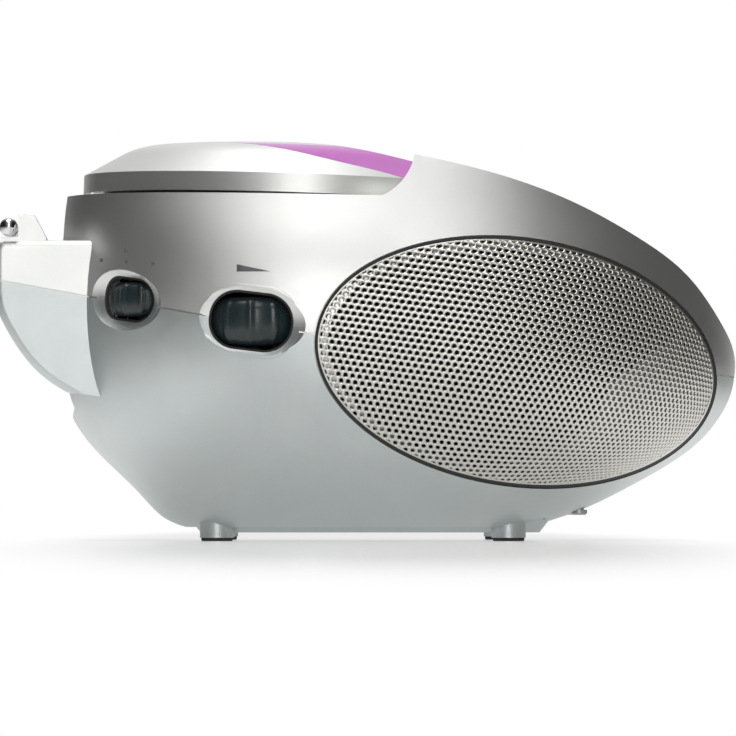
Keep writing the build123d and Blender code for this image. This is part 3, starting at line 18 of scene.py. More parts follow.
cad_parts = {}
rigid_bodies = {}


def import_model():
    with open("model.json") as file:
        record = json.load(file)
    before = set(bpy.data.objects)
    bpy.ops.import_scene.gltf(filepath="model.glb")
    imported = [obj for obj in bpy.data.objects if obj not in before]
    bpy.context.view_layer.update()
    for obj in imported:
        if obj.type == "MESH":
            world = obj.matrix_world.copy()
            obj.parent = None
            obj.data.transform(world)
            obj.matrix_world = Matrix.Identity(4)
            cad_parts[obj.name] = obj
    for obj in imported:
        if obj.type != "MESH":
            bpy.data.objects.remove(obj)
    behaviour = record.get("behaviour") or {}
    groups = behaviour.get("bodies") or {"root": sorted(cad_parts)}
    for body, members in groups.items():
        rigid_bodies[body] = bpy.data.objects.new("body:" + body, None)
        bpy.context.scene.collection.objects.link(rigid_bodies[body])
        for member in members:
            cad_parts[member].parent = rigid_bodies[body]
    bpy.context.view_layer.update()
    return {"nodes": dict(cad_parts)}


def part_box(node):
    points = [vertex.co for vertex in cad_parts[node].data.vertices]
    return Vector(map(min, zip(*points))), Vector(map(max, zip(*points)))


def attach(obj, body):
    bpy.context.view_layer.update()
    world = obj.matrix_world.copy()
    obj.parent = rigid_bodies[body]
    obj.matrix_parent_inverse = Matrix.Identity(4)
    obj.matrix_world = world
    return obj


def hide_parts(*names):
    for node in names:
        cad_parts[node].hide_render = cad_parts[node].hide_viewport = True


LOG = logging.getLogger("disc_radio")
MM = 0.001
FAR = 200 * MM
WHITE = (1.0, 1.0, 1.0, 1.0)
SHARP_ANGLE = math.radians(38)
COAT_ROUGHNESS = 0.12
GRAIN_SHARE = 0.45
BUMP_STRENGTH = 0.6

Pair = tuple[float, float]
Triple = tuple[float, float, float]
Outline = tuple[Pair, ...]
BMesh = bmesh.types.BMesh
Node = bpy.types.Node
Key = str | int
Socket = tuple[Node, Key]
Values = dict[Key, float | tuple[float, ...]]


class Side(Enum):
    """The two sides of the radio, by the sign of X."""

    LEFT = -1
    RIGHT = 1


class Effect(Enum):
    """Shader effects that several materials share, by the name of their node group."""

    FLAKE = "Paint flake"
    HANDLING = "Handling marks"
    MOULD = "Moulded skin"


NOISE: dict[Effect, tuple[Values, Pair]] = {
    Effect.HANDLING: ({"Detail": 6.0, "Roughness": 0.62, "Distortion": 0.6}, (0.38, 0.66)),
    Effect.MOULD: ({"Detail": 3.0, "Roughness": 0.5}, (0.35, 0.65)),
}


@dataclass(frozen=True)
class Graph:
    """A shader node tree, with short ways to fill it.

    Attributes:
        tree: The node tree.
    """

    tree: bpy.types.NodeTree

    def add(self, kind: str, values: Values | None = None, **settings: object) -> Node:
        """Add a node.

        Args:
            kind: Its type, without the leading ShaderNode.
            values: Values for its inputs.
            settings: Values for its own properties, which are set first.

        Returns:
            The new node.
        """
        node = self.tree.nodes.new(f"ShaderNode{kind}")
        for name, value in settings.items():
            setattr(node, name, value)
        self.fill(node, values or {})
        return node

    @staticmethod
    def fill(node: Node, values: Values) -> None:
        """Set a node's inputs."""
        for socket, value in values.items():
            node.inputs[socket].default_value = value

    def join(self, *links: tuple[Node, Key, Node, Key]) -> None:
        """Link nodes: each link is a node and its output, then a node and its input."""
        for source, output, target, entry in links:
            self.tree.links.new(source.outputs[output], target.inputs[entry])

    def fade(self, source: Socket, target: Socket, start: Pair, result: Pair) -> None:
        """Add a smooth change from one value to another.

        Args:
            source: What the change follows: a node and its output.
            target: What takes the result: a node and its input.
            start: Values of the source at both ends of the change.
            result: Values given at both ends.
        """
        names = ("From Min", "From Max", "To Min", "To Max")
        node = self.add("MapRange", dict(zip(names, start + result)), interpolation_type="SMOOTHSTEP")
        self.join((*source, node, "Value"), (node, "Result", *target))


def build_effect(effect: Effect) -> bpy.types.NodeTree:
    """Give the node group of an effect, built the first time it is asked for.

    Args:
        effect: Which shared effect is wanted.

    Returns:
        A shader node group with a Vector input, a Scale input, and Mask and Height outputs.
    """
    tree = bpy.data.node_groups.get(effect.value)
    if tree is not None:
        return tree
    tree = bpy.data.node_groups.new(effect.value, "ShaderNodeTree")
    sockets = (("Vector", "INPUT"), ("Scale", "INPUT"), ("Mask", "OUTPUT"), ("Height", "OUTPUT"))
    for name, way in sockets:
        kind = "NodeSocketVector" if name == "Vector" else "NodeSocketFloat"
        tree.interface.new_socket(name, in_out=way, socket_type=kind)
    enter, leave = tree.nodes.new("NodeGroupInput"), tree.nodes.new("NodeGroupOutput")
    graph = Graph(tree)
    if effect is Effect.FLAKE:
        pattern, grey = graph.add("TexVoronoi", feature="F1"), graph.add("SeparateColor")
        graph.join((pattern, "Color", grey, "Color"))
        mask, height, span = (grey, "Red"), (grey, "Green"), (0.0, 1.0)
    else:
        values, span = NOISE[effect]
        pattern = graph.add("TexNoise", values)
        mask = height = (pattern, "Fac")
    ramp = graph.add("MapRange", {"From Min": span[0], "From Max": span[1]})
    graph.join(
        (enter, "Vector", pattern, "Vector"), (enter, "Scale", pattern, "Scale"),
        (*mask, ramp, "Value"), (ramp, "Result", leave, "Mask"), (*height, leave, "Height"),
    )
    return tree


@dataclass(frozen=True)
class Finish:
    """One surface finish: its colours, its gloss and the fine texture that breaks it up.

    Attributes:
        name: Name of the material.
        colour: Main colour.
        worn: Colour that the texture wanders towards.
        rough: Least and greatest roughness.
        metal: How metallic it is.
        coat: Weight of a clear coat.
        clear: Transmission weight.
        grain: Which fine effect is used for the bump.
        grain_scale: Scale of that effect, per metre.
        grain_depth: Depth of the bump in metres.
        marks_scale: Scale of the broad handling marks, per metre.
        index: Refractive index.
    """

    name: str
    colour: Triple
    worn: Triple
    rough: Pair = (0.35, 0.5)
    metal: float = 0.0
    coat: float = 0.0
    clear: float = 0.0
    grain: Effect = Effect.MOULD
    grain_scale: float = 2600.0
    grain_depth: float = 0.00004
    marks_scale: float = 28.0
    index: float = 1.46

    def material(self) -> bpy.types.Material:
        """Give the finish's material, built the first time it is asked for."""
        material = bpy.data.materials.get(self.name)
        if material is not None:
            return material
        material = bpy.data.materials.new(self.name)
        material.use_nodes = True
        graph = Graph(material.node_tree)
        shader = material.node_tree.nodes["Principled BSDF"]
        graph.fill(shader, {
            "Metallic": self.metal, "Coat Weight": self.coat, "Coat Roughness": COAT_ROUGHNESS,
            "Transmission Weight": self.clear, "IOR": self.index,
        })
        place = graph.add("TexCoord")
        grain, marks = (
            graph.add("Group", {"Scale": scale}, node_tree=build_effect(effect))
            for effect, scale in ((self.grain, self.grain_scale), (Effect.HANDLING, self.marks_scale))
        )
        blend = graph.add("Mix", {"A": (*self.colour, 1.0), "B": (*self.worn, 1.0)}, data_type="RGBA")
        both = graph.add("Math", {1: GRAIN_SHARE}, operation="MULTIPLY_ADD")
        rest = graph.add("Math", {1: 1 - GRAIN_SHARE}, operation="MULTIPLY")
        gloss = graph.add("MapRange", {"To Min": self.rough[0], "To Max": self.rough[1]})
        graph.join(
            (place, "Object", grain, "Vector"), (place, "Object", marks, "Vector"),
            (marks, "Mask", rest, 0), (grain, "Mask", both, 0), (rest, 0, both, 2),
            (both, 0, blend, "Factor"), (blend, "Result", shader, "Base Color"),
            (both, 0, gloss, "Value"), (gloss, "Result", shader, "Roughness"),
        )
        if self.grain_depth > 0:
            bump = graph.add("Bump", {"Distance": self.grain_depth, "Strength": BUMP_STRENGTH})
            graph.join((grain, "Height", bump, "Height"), (bump, "Normal", shader, "Normal"))
        return material


SILVER_LACQUER = Finish(
    "Silver lacquer", (0.80, 0.805, 0.78), (0.75, 0.76, 0.74), (0.38, 0.45), metal=0.92, coat=0.1,
    grain=Effect.FLAKE, grain_scale=5200.0, grain_depth=0.000012,
)
PEARL_SHELL = Finish(
    "Pearl grey shell", (0.61, 0.65, 0.64), (0.565, 0.605, 0.60), (0.38, 0.45), metal=0.86, coat=0.1,
    grain=Effect.FLAKE, grain_scale=5200.0, grain_depth=0.000012,
)
GRILLE_SHEET = Finish(
    "Warm silver sheet", (0.74, 0.73, 0.68), (0.66, 0.65, 0.61), (0.32, 0.40), metal=0.9,
    grain=Effect.FLAKE, grain_scale=4200.0, grain_depth=0.00001,
)
# Black sheet behind the grille's holes: painted shade that darkens what shows through them.
GRILLE_SHADE_SHEET = Finish(
    "Black painted shade sheet", (0.010, 0.010, 0.011), (0.02, 0.02, 0.02), (0.85, 0.95), grain_scale=5000.0
)
PURPLE_PANE = Finish(
    "Purple pane", (0.95, 0.21, 0.91), (0.90, 0.18, 0.87), (0.05, 0.09), clear=0.32, coat=0.4,
    grain_depth=0.0, index=1.49,
)
CLEAR_PANE = Finish(
    "Clear pane", (0.86, 0.88, 0.87), (0.82, 0.84, 0.84), (0.02, 0.06), clear=0.95, grain_depth=0.0,
    index=1.49,
)
LENS_GLASS = Finish(
    "Coated lens", (0.32, 0.36, 0.78), (0.28, 0.30, 0.62), (0.02, 0.05), clear=0.7, grain_depth=0.0
)
CONTROL_DARK = Finish(
    "Dark control moulding", (0.015, 0.026, 0.028), (0.024, 0.036, 0.038), (0.24, 0.34), coat=0.2,
    grain_depth=0.00001,
)
PANEL_DARK = Finish("Dark panel moulding", (0.045, 0.05, 0.054), (0.06, 0.066, 0.07), (0.42, 0.52))
BLACK_MOULDING = Finish("Black moulding", (0.018, 0.018, 0.02), (0.03, 0.03, 0.032), (0.42, 0.6))
BLACK_RUBBER = Finish("Black rubber", (0.022, 0.022, 0.022), (0.045, 0.043, 0.04), (0.7, 0.9))
CHROME = Finish(
    "Polished plating", (0.78, 0.78, 0.79), (0.70, 0.70, 0.71), (0.05, 0.14), metal=1.0,
    grain=Effect.HANDLING, grain_scale=300.0, grain_depth=0.0,
)
PLATED_STEEL = Finish(
    "Zinc plated steel", (0.52, 0.52, 0.51), (0.42, 0.42, 0.41), (0.28, 0.42), metal=1.0,
    grain_depth=0.00001,
)
BLACK_STEEL = Finish(
    "Black stamped steel", (0.03, 0.03, 0.032), (0.05, 0.05, 0.05), (0.4, 0.55), metal=0.4
)
FERRITE = Finish("Ferrite", (0.05, 0.05, 0.052), (0.075, 0.072, 0.07), (0.55, 0.75), metal=0.3)
CONE_PAPER = Finish(
    "Pressed paper", (0.02, 0.02, 0.021), (0.035, 0.034, 0.032), (0.8, 0.95), grain_depth=0.0001
)
BOARD_GREEN = Finish("Green laminate", (0.02, 0.12, 0.045), (0.03, 0.17, 0.06), (0.35, 0.5))
WHITE_MOULDING = Finish("White moulding", (0.80, 0.80, 0.76), (0.70, 0.70, 0.66), (0.35, 0.5))
CORE_IRON = Finish("Laminated core", (0.10, 0.10, 0.105), (0.16, 0.13, 0.11), (0.5, 0.7), metal=0.6)
POINTER_RED = Finish("Pointer red", (0.75, 0.06, 0.02), (0.62, 0.05, 0.02), (0.25, 0.35), coat=0.3)
SCALE_BLACK = Finish("Scale strip", (0.012, 0.012, 0.014), (0.02, 0.02, 0.022), (0.45, 0.6))
DISPLAY_GREEN = Finish("Display glass", (0.36, 0.42, 0.33), (0.32, 0.38, 0.30), (0.15, 0.25), coat=0.3)
TUNER_BOX = Finish("Clear tuner box", (0.72, 0.75, 0.74), (0.6, 0.63, 0.62), (0.1, 0.2), clear=0.3)
PRINT_GREY = Finish(
    "Grey print", (0.12, 0.12, 0.125), (0.16, 0.16, 0.165), (0.5, 0.65), grain_depth=0.0
)
PRINT_WHITE = Finish(
    "White print", (0.82, 0.83, 0.82), (0.74, 0.75, 0.74), (0.5, 0.65), grain_depth=0.0
)

FINISHED_NODES: dict[Finish, tuple[str, ...]] = {
    SILVER_LACQUER: ("upper_case", "lid_frame"),
    PEARL_SHELL: ("lower_case", "battery_door"),
    PURPLE_PANE: ("lid_window",),
    PLATED_STEEL: ("lid_hinge_pin", "spindle_motor", "sled_motor", "battery_contacts", "case_screws"),
    BLACK_MOULDING: ("disc_well", "turntable_hub", "pickup_sled", "mains_inlet", "aerial_plate"),
    BLACK_STEEL: (
        "mechanism_plate", "volume_pot", "function_switch", "band_switch",
        "left_speaker_basket", "right_speaker_basket",
    ),
    CHROME: (
        "guide_rods", "aerial_swivel", "aerial_tube_1", "aerial_tube_2", "aerial_tube_3", "aerial_tip",
    ),
    LENS_GLASS: ("pickup_lens",),
    BLACK_RUBBER: ("mechanism_bushes", "foot_pads"),
    WHITE_MOULDING: ("sled_pinion",),
    CONTROL_DARK: (
        "volume_wheel", "tuning_wheel", "function_knob", "band_knob",
        "stop_button", "back_button", "play_button", "forward_button", "program_button",
    ),
    TUNER_BOX: ("tuning_capacitor",),
    PANEL_DARK: ("control_panel",),
    BOARD_GREEN: ("console_board", "main_board"),
    CLEAR_PANE: ("display_window", "dial_window"),
    DISPLAY_GREEN: ("display_module",),
    SCALE_BLACK: ("dial_scale",),
    POINTER_RED: ("dial_pointer",),
    CORE_IRON: ("transformer",),
    CONE_PAPER: ("left_speaker_cone", "right_speaker_cone"),
    FERRITE: ("left_speaker_magnet", "right_speaker_magnet"),
}


def new_piece(
    name: str, shape: BMesh, finish: Finish, body: str, smooth: bool = True
) -> bpy.types.Object:
    """Turn a finished bmesh, in metres, into a piece that rides on a body.

    Args:
        name: Name of the piece.
        shape: The mesh, which is freed.
        finish: Its finish.
        body: The CAD body that it rides on.
        smooth: Whether its faces are shaded smooth, with sharp edges kept.

    Returns:
        The new object.
    """
    for face in shape.faces:
        face.smooth = smooth
    mesh = bpy.data.meshes.new(name)
    shape.to_mesh(mesh)
    shape.free()
    if smooth:
        mesh.set_sharp_from_angle(angle=SHARP_ANGLE)
    piece = bpy.data.objects.new(name, mesh)
    bpy.context.scene.collection.objects.link(piece)
    mesh.materials.append(finish.material())
    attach(piece, body)
    LOG.info("%s: %d faces", name, len(mesh.polygons))
    return piece


def thicken(piece: bpy.types.Object, thick: float) -> None:
    """Give a piece that is a bare outer surface its thickness, in millimetres."""
    wall = piece.modifiers.new("Thickness", "SOLIDIFY")
    wall.thickness, wall.offset = thick * MM, -1.0


def turn_outward(shape: BMesh, out: Vector) -> None:
    """Turn a mesh over if its faces look, on the whole, against a direction."""
    if sum(face.normal.dot(out) * face.calc_area() for face in shape.faces) < 0:
        bmesh.ops.reverse_faces(shape, faces=shape.faces[:])


def bridge(shape: BMesh, rings: list[list[bmesh.types.BMVert]]) -> None:
    """Join closed rings of vertices with faces, each ring to the next."""
    loops = [list({edge for vertex in ring for edge in vertex.link_edges}) for ring in rings]
    for first, second in zip(loops, loops[1:]):
        bmesh.ops.bridge_loops(shape, edges=first + second)


def wall_rays(node: str) -> BVHTree:
    """Give a tree for casting rays at a CAD node."""
    source = bpy.data.objects[node]
    return BVHTree.FromPolygons(
        [vertex.co for vertex in source.data.vertices],
        [tuple(face.vertices) for face in source.data.polygons],
    )


@dataclass
class WallFit:
    """A smooth surface fitted to the outside of a CAD node, as X over (Y, Z), in millimetres.

    Attributes:
        node: The CAD node that is measured.
        side: Which side of the radio it is on.
        centre: Y and Z about which the fit is made.
        reach: Half size in Y and Z of the fitted patch.
        power: Highest power in the fit.
        samples: How many points are measured along Y and Z.
    """

    node: str
    side: Side
    centre: Pair
    reach: Pair
    power: int = 9
    samples: tuple[int, int] = (61, 45)

    def __post_init__(self) -> None:
        """Measure the node and solve for the surface."""
        rays = wall_rays(self.node)
        rows, values = [], []
        for across in np.linspace(-1, 1, self.samples[0]):
            for up in np.linspace(-1, 1, self.samples[1]):
                spot = (self.centre[0] + across * self.reach[0], self.centre[1] + up * self.reach[1])
                start = Vector((self.side.value * FAR, spot[0] * MM, spot[1] * MM))
                hit = rays.ray_cast(start, Vector((-self.side.value, 0, 0)))[0]
                if hit is not None:
                    rows.append(self._terms(np.array([spot[0]]), np.array([spot[1]]))[0])
                    values.append(hit.x / MM)
        self.weights = np.linalg.lstsq(np.array(rows), np.array(values), rcond=None)[0]

    def _terms(self, y: np.ndarray, z: np.ndarray) -> np.ndarray:
        """Give the polynomial's terms at points, one row for each."""
        across = (y - self.centre[0]) / self.reach[0]
        up = (z - self.centre[1]) / self.reach[1]
        pairs = [(i, j) for i in range(self.power + 1) for j in range(self.power + 1 - i)]
        return np.stack([across**i * up**j for i, j in pairs], axis=1)

    def height(self, y: np.ndarray, z: np.ndarray) -> np.ndarray:
        """Give X in millimetres at points."""
        return self._terms(y, z) @ self.weights


@dataclass
class PerforatedGrille:
    """A pressed sheet with round holes, drawn over the side of the egg without stretching.

    Attributes:
        side: Which side it is on.
        centre: Y and Z of its ellipse.
        half: Half length and half height of the ellipse.
        patch: Half size in Y and Z of the patch of wall that is measured.
        tilt: How far the long axis rises towards the rear, in degrees.
        pitch: Distance between holes.
        hole: Diameter of a hole.
        thick: Thickness of the sheet.
        rim_section: Section of the turned edge, as distance in from the ellipse and height.
        gap_section: Section of the black gasket that fills the gap round the sheet.
        inset: How far in from the ellipse the sheet is cut off.
        cloth: How far in from the ellipse the black sheet of painted shade behind the holes ends, and
            its height.
    """

    side: Side
    centre: Pair = (-43.6, 53.3)
    half: Pair = (60.2, 35.9)
    patch: Pair = (62.0, 42.0)
    tilt: float = 7.8
    pitch: float = 2.11
    hole: float = 1.32
    thick: float = 0.7
    rim_section: Outline = (
        (0.0, -1.1), (-0.02, -0.25), (0.12, 0.0), (0.32, 0.04), (0.55, -0.04), (0.55, -0.6),
    )
    gap_section: Outline = (
        (-0.8, -0.3), (-0.8, 0.05), (-0.7, 0.09), (-0.1, 0.07), (0.05, -0.1), (0.05, -0.8),
    )
    inset: float = 0.2
    cloth: Pair = (0.7, -1.0)

    def build(self) -> None:
        """Make the sheet, its rim, the gasket round it and the black sheet of painted shade behind it.
        """
        self.name = f"{self.side.name.lower()}_grille"
        self.wall = WallFit(self.name, self.side, self.centre, self.patch)
        self._measure_arcs()
        sheet = self._sheet()
        self._ring("rim", self.rim_section, GRILLE_SHEET)
        self._ring("gap", self.gap_section, BLACK_RUBBER)
        self._cloth()
        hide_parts(self.name)

    def _measure_arcs(self) -> None:
        """Tabulate how far points of the flat sheet are pulled in, along lines from the centre."""
        lines, points, beyond, self.step = 145, 90, 1.5, 0.5
        self.turns = np.linspace(0, 2 * math.pi, lines)
        shares = np.linspace(0, 1, points)
        reaches = np.arange(0.0, beyond * self.half[0], self.step)
        self.lengths, pulled = [], []
        for turn in self.turns:
            radii = shares * self._edge(turn)
            y, z = self._to_wall(radii * math.cos(turn), radii * math.sin(turn))
            rise = np.diff(self.wall.height(y, z))
            arc = np.concatenate(([0.0], np.cumsum(np.hypot(np.diff(radii), rise))))
            past = np.maximum(reaches - arc[-1], 0.0) / arc[-1]
            pulled.append((np.interp(reaches, arc, shares) + past) * self._edge(turn))
            self.lengths.append(float(arc[-1]))
        self.pulled = np.array(pulled)

    def _edge(self, turns: np.ndarray | float) -> np.ndarray | float:
        """Give the ellipse's radius at angles."""
        a, b = self.half
        return a * b / np.sqrt((b * np.cos(turns)) ** 2 + (a * np.sin(turns)) ** 2)

    def _to_wall(self, u: np.ndarray, v: np.ndarray) -> tuple[np.ndarray, np.ndarray]:
        """Turn the ellipse's own coordinates into Y and Z."""
        lean = math.radians(self.tilt)
        y = self.centre[0] + u * math.cos(lean) - v * math.sin(lean)
        z = self.centre[1] + u * math.sin(lean) + v * math.cos(lean)
        return y, z

    def _drawn(self, u: np.ndarray, v: np.ndarray) -> tuple[np.ndarray, np.ndarray]:
        """Pull flat points in so that lengths along the wall are kept.

        Args:
            u: First flat coordinate.
            v: Second flat coordinate.

        Returns:
            The same points, seen square on.
        """
        turns = np.mod(np.arctan2(v, u), 2 * math.pi)
        across = turns / (2 * math.pi) * (len(self.turns) - 1)
        within = self.pulled.shape[1] - 1.001
        along = np.minimum(np.hypot(u, v) / self.step, within)
        row, column = np.floor(across).astype(int), np.floor(along).astype(int)
        over, on = across - row, along - column
        below = np.minimum(row + 1, len(self.turns) - 1)
        near = self.pulled[row, column] * (1 - over) + self.pulled[below, column] * over
        far = self.pulled[row, column + 1] * (1 - over) + self.pulled[below, column + 1] * over
        seen = near * (1 - on) + far * on
        return seen * np.cos(turns), seen * np.sin(turns)

    def _flat_size(self) -> Pair:
        """Give the flat sheet's length and height."""
        quarter = (len(self.turns) - 1) // 4
        rear, top, front, bottom = (self.lengths[turn * quarter] for turn in range(4))
        return rear + front, top + bottom

    def _cell(self) -> BMesh:
        """Make one six-sided cell of the sheet with its round hole."""
        cell, border = bmesh.new(), 0.2
        bmesh.ops.create_circle(cell, cap_ends=True, segments=6, radius=self.pitch / math.sqrt(3))
        bmesh.ops.subdivide_edges(cell, edges=cell.edges[:], cuts=1)
        bmesh.ops.inset_region(cell, faces=cell.faces[:], thickness=border, use_boundary=True)
        middle = min(cell.faces, key=lambda face: face.calc_center_median().length)
        ring = middle.verts[:]
        for vertex in ring:
            vertex.co = vertex.co.normalized() * self.hole / 2
        bmesh.ops.delete(cell, geom=[middle], context="FACES_ONLY")
        return cell

    def _repeat(self, stock: BMesh, places: list[Pair]) -> BMesh:
        """Copy a flat mesh to several places.

        Args:
            stock: The mesh to copy, which is freed.
            places: Where the copies go.

        Returns:
            One mesh with all the copies.
        """
        mesh = bpy.data.meshes.new("grille_stock")
        stock.to_mesh(mesh)
        stock.free()
        whole = bmesh.new()
        for across, up in places:
            before = len(whole.verts)
            whole.from_mesh(mesh)
            whole.verts.ensure_lookup_table()
            bmesh.ops.translate(whole, verts=whole.verts[before:], vec=(across, up, 0))
        bpy.data.meshes.remove(mesh)
        return whole

    def _sheet(self) -> bpy.types.Object:
        """Make the perforated sheet."""
        along, up = self._flat_size()
        row_step = self.pitch * math.sqrt(3) / 2
        cover, spare, weld = 0.56, 2.0, 0.02
        columns, rows = int(cover * along / self.pitch), int(cover * up / row_step)
        places = [(step * self.pitch, 0) for step in range(-columns, columns + 1)]
        row = self._repeat(self._cell(), places)
        places = [(0.5 * (step % 2) * self.pitch, step * row_step) for step in range(-rows, rows + 1)]
        shape = self._repeat(row, places)
        self._flatten(shape)
        far = [face for face in shape.faces if self._share(face) > 1 + spare / self.half[1]]
        bmesh.ops.delete(shape, geom=far, context="FACES")
        self._trim(shape)
        bmesh.ops.remove_doubles(shape, verts=shape.verts[:], dist=weld)
        self._lift(shape)
        piece = new_piece(f"{self.name}_sheet", shape, GRILLE_SHEET, "body")
        thicken(piece, self.thick)
        return piece

    def _share(self, face: bmesh.types.BMFace, inset: float = 0.0) -> float:
        """Give how far out a face is, as a share of the ellipse drawn in by inset."""
        middle = face.calc_center_median()
        return math.hypot(middle.x / (self.half[0] - inset), middle.y / (self.half[1] - inset))

    def _trim(self, shape: BMesh) -> None:
        """Cut a flat mesh off along the ellipse, a short straight cut at a time."""
        cuts, rim, spread = 96, 2.5, 1.2
        a, b = self.half[0] - self.inset, self.half[1] - self.inset
        edge = [face for face in shape.faces if self._share(face) > 1 - rim / self.half[1]]
        turns = {face: self._turn(face) for face in edge}
        width = 2 * math.pi / cuts
        for step in range(cuts):
            turn = -math.pi + (step + 0.5) * width
            normal = Vector((math.cos(turn) / a, math.sin(turn) / b, 0)).normalized()
            near = [face for face in edge if self._apart(turns[face], turn) < spread * width]
            rims = {part for face in near for part in (*face.verts, *face.edges)}
            cut = bmesh.ops.bisect_plane(
                shape, geom=[*near, *rims], dist=1e-5, plane_no=normal, clear_outer=False,
                plane_co=Vector((a * math.cos(turn), b * math.sin(turn), 0)),
            )
            fresh = [part for part in cut["geom"] if isinstance(part, bmesh.types.BMFace)]
            turns.update({face: self._turn(face) for face in fresh})
            edge = [face for face in {*edge, *fresh} if face.is_valid]
        past = [face for face in edge if self._share(face, self.inset) > 1]
        bmesh.ops.delete(shape, geom=past, context="FACES")

    def _turn(self, face: bmesh.types.BMFace) -> float:
        """Give the angle round the ellipse at which a face lies."""
        middle = face.calc_center_median()
        return math.atan2(middle.y / self.half[1], middle.x / self.half[0])

    @staticmethod
    def _apart(first: float, second: float) -> float:
        """Give the angle between two directions."""
        gap = abs(first - second) % (2 * math.pi)
        return min(gap, 2 * math.pi - gap)

    def _flatten(self, shape: BMesh) -> None:
        """Move a flat mesh to where its points are seen from the side."""
        flat = np.array([vertex.co[:2] for vertex in shape.verts])
        u, v = self._drawn(flat[:, 0], flat[:, 1])
        for vertex, across, height in zip(shape.verts, u, v):
            vertex.co = (across, height, 0)

    def _lift(self, shape: BMesh) -> None:
        """Put a mesh in the ellipse's coordinates and heights onto the wall, in metres, facing out."""
        sink = 0.05
        flat = np.array([tuple(vertex.co) for vertex in shape.verts])
        y, z = self._to_wall(flat[:, 0], flat[:, 1])
        x = self.wall.height(y, z) + self.side.value * (flat[:, 2] - sink)
        for vertex, place in zip(shape.verts, np.stack((x, y, z), axis=1)):
            vertex.co = Vector(place) * MM
        bmesh.ops.recalc_face_normals(shape, faces=shape.faces[:])
        turn_outward(shape, Vector((self.side.value, 0, 0)))

    def _ellipse(
        self, shape: BMesh, inset: float, level: float, filled: bool = False
    ) -> list[bmesh.types.BMVert]:
        """Add one ellipse to a mesh in the ellipse's coordinates, and give its vertices."""
        points = 160
        made = bmesh.ops.create_circle(shape, cap_ends=filled, segments=points, radius=1.0)["verts"]
        a, b = self.half[0] - inset, self.half[1] - inset
        for vertex in made:
            vertex.co = (vertex.co.x * a, vertex.co.y * b, level)
        return made

    def _ring(self, part: str, section: Outline, finish: Finish) -> None:
        """Make a narrow ring round the sheet.

        Args:
            part: What the ring is called.
            section: Its section, as distance in from the ellipse and height above the wall.
            finish: Its finish.
        """
        shape = bmesh.new()
        bridge(shape, [self._ellipse(shape, inset, level) for inset, level in section])
        self._lift(shape)
        new_piece(f"{self.name}_{part}", shape, finish, "body")

    def _cloth(self) -> None:
        """Make the black sheet behind the holes, painted shade for what shows through them, in rings
        that let it follow the wall.
        """
        rings, width = 4, 7.4
        shape = bmesh.new()
        self._ellipse(shape, *self.cloth, filled=True)
        for _ in range(rings):
            middle = max(shape.faces, key=lambda face: len(face.verts))
            bmesh.ops.inset_region(shape, faces=[middle], thickness=width)
        self._lift(shape)
        area = sum(face.calc_area() for face in shape.faces)
        # The black sheet behind the holes is painted shade.
        piece = new_piece(f"{self.name}_cloth", shape, GRILLE_SHADE_SHEET, "body")


@dataclass
class BarrelWheel:
    """A crowned thumbwheel with soft ribs, which stands for a straight-sided CAD wheel.

    Attributes:
        node: The CAD node that it replaces.
        body: The body that it rides on.
        yaw: Direction in which its window faces, in degrees.
        ribs: How many ribs go round it.
        draw: How far its ends draw in from the middle.
        power: How square the crown is: 2 is an ellipse, and more is squarer.
        rib: Height and half width of a rib.
        bore: Radius of the hole for its shaft.
        taller: How much taller each of its ends is than the CAD wheel's.
        steps: Degrees between points of the crown, and steps from one rib to the next.
    """

    node: str
    body: str
    yaw: float
    ribs: int
    draw: float
    power: float = 2.6
    rib: Pair = (0.5, 1.5)
    bore: float = 3.1
    taller: float = 0.3
    steps: tuple[int, int] = (6, 16)

    def build(self) -> None:
        """Make the wheel."""
        low, high = (Vector(corner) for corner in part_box(self.node))
        middle, half = (low + high) / 2, (high - low) / 2 / MM
        radius, rise = half.x - self.rib[0], half.z + self.taller
        shape = bmesh.new()
        turns = [math.radians(turn) for turn in range(-90, 91, self.steps[0])]
        crown = [self._crown(turn, radius, rise) for turn in turns]
        section = [(self.bore, -rise), *crown, (self.bore, rise)]
        verts = [shape.verts.new((r, 0, z)) for r, z in section]
        edges = [shape.edges.new(pair) for pair in zip(verts, verts[1:] + verts[:1])]
        bmesh.ops.spin(
            shape, geom=verts + edges, axis=(0, 0, 1), cent=(0, 0, 0), angle=2 * math.pi,
            steps=self.steps[1] * self.ribs, use_merge=True,
        )
        for vertex in shape.verts:
            vertex.co += self._swell(vertex.co, radius)
        bmesh.ops.recalc_face_normals(shape, faces=shape.faces[:])
        place = Matrix.Translation(middle) @ Matrix.Scale(MM, 4)
        bmesh.ops.transform(shape, matrix=place, verts=shape.verts[:])
        piece = new_piece(f"{self.node}_crowned", shape, CONTROL_DARK, self.body)
        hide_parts(self.node)

    def _crown(self, turn: float, radius: float, rise: float) -> Pair:
        """Give the radius and height of a point of the crown's section."""
        out, up = (abs(part) ** (2 / self.power) for part in (math.cos(turn), math.sin(turn)))
        return radius - self.draw * (1 - out), math.copysign(rise * up, turn)

    def _swell(self, spot: Vector, radius: float) -> Vector:
        """Give how far a point of the plain crown moves out for the ribs."""
        flat = Vector((spot.x, spot.y, 0))
        step = 2 * math.pi / self.ribs
        turn = math.atan2(spot.y, spot.x) - math.radians(self.yaw)
        off = abs((turn + step / 2) % step - step / 2) * radius
        share = min(off / self.rib[1], 1.0)
        inner = max(1 - (radius - flat.length) / self.draw, 0.0)
        bulge = self.rib[0] * (1 + math.cos(math.pi * share)) / 2
        return flat.normalized() * (bulge * min(2 * inner, 1.0))


THUMBWHEELS = (
    BarrelWheel("volume_wheel", "volume", 175.0, 12, 6.0),
    BarrelWheel("tuning_wheel", "tuning", 5.0, 12, 6.0),
    BarrelWheel("function_knob", "function", 139.0, 10, 4.4),
    BarrelWheel("band_knob", "band", 41.0, 10, 4.4),
)


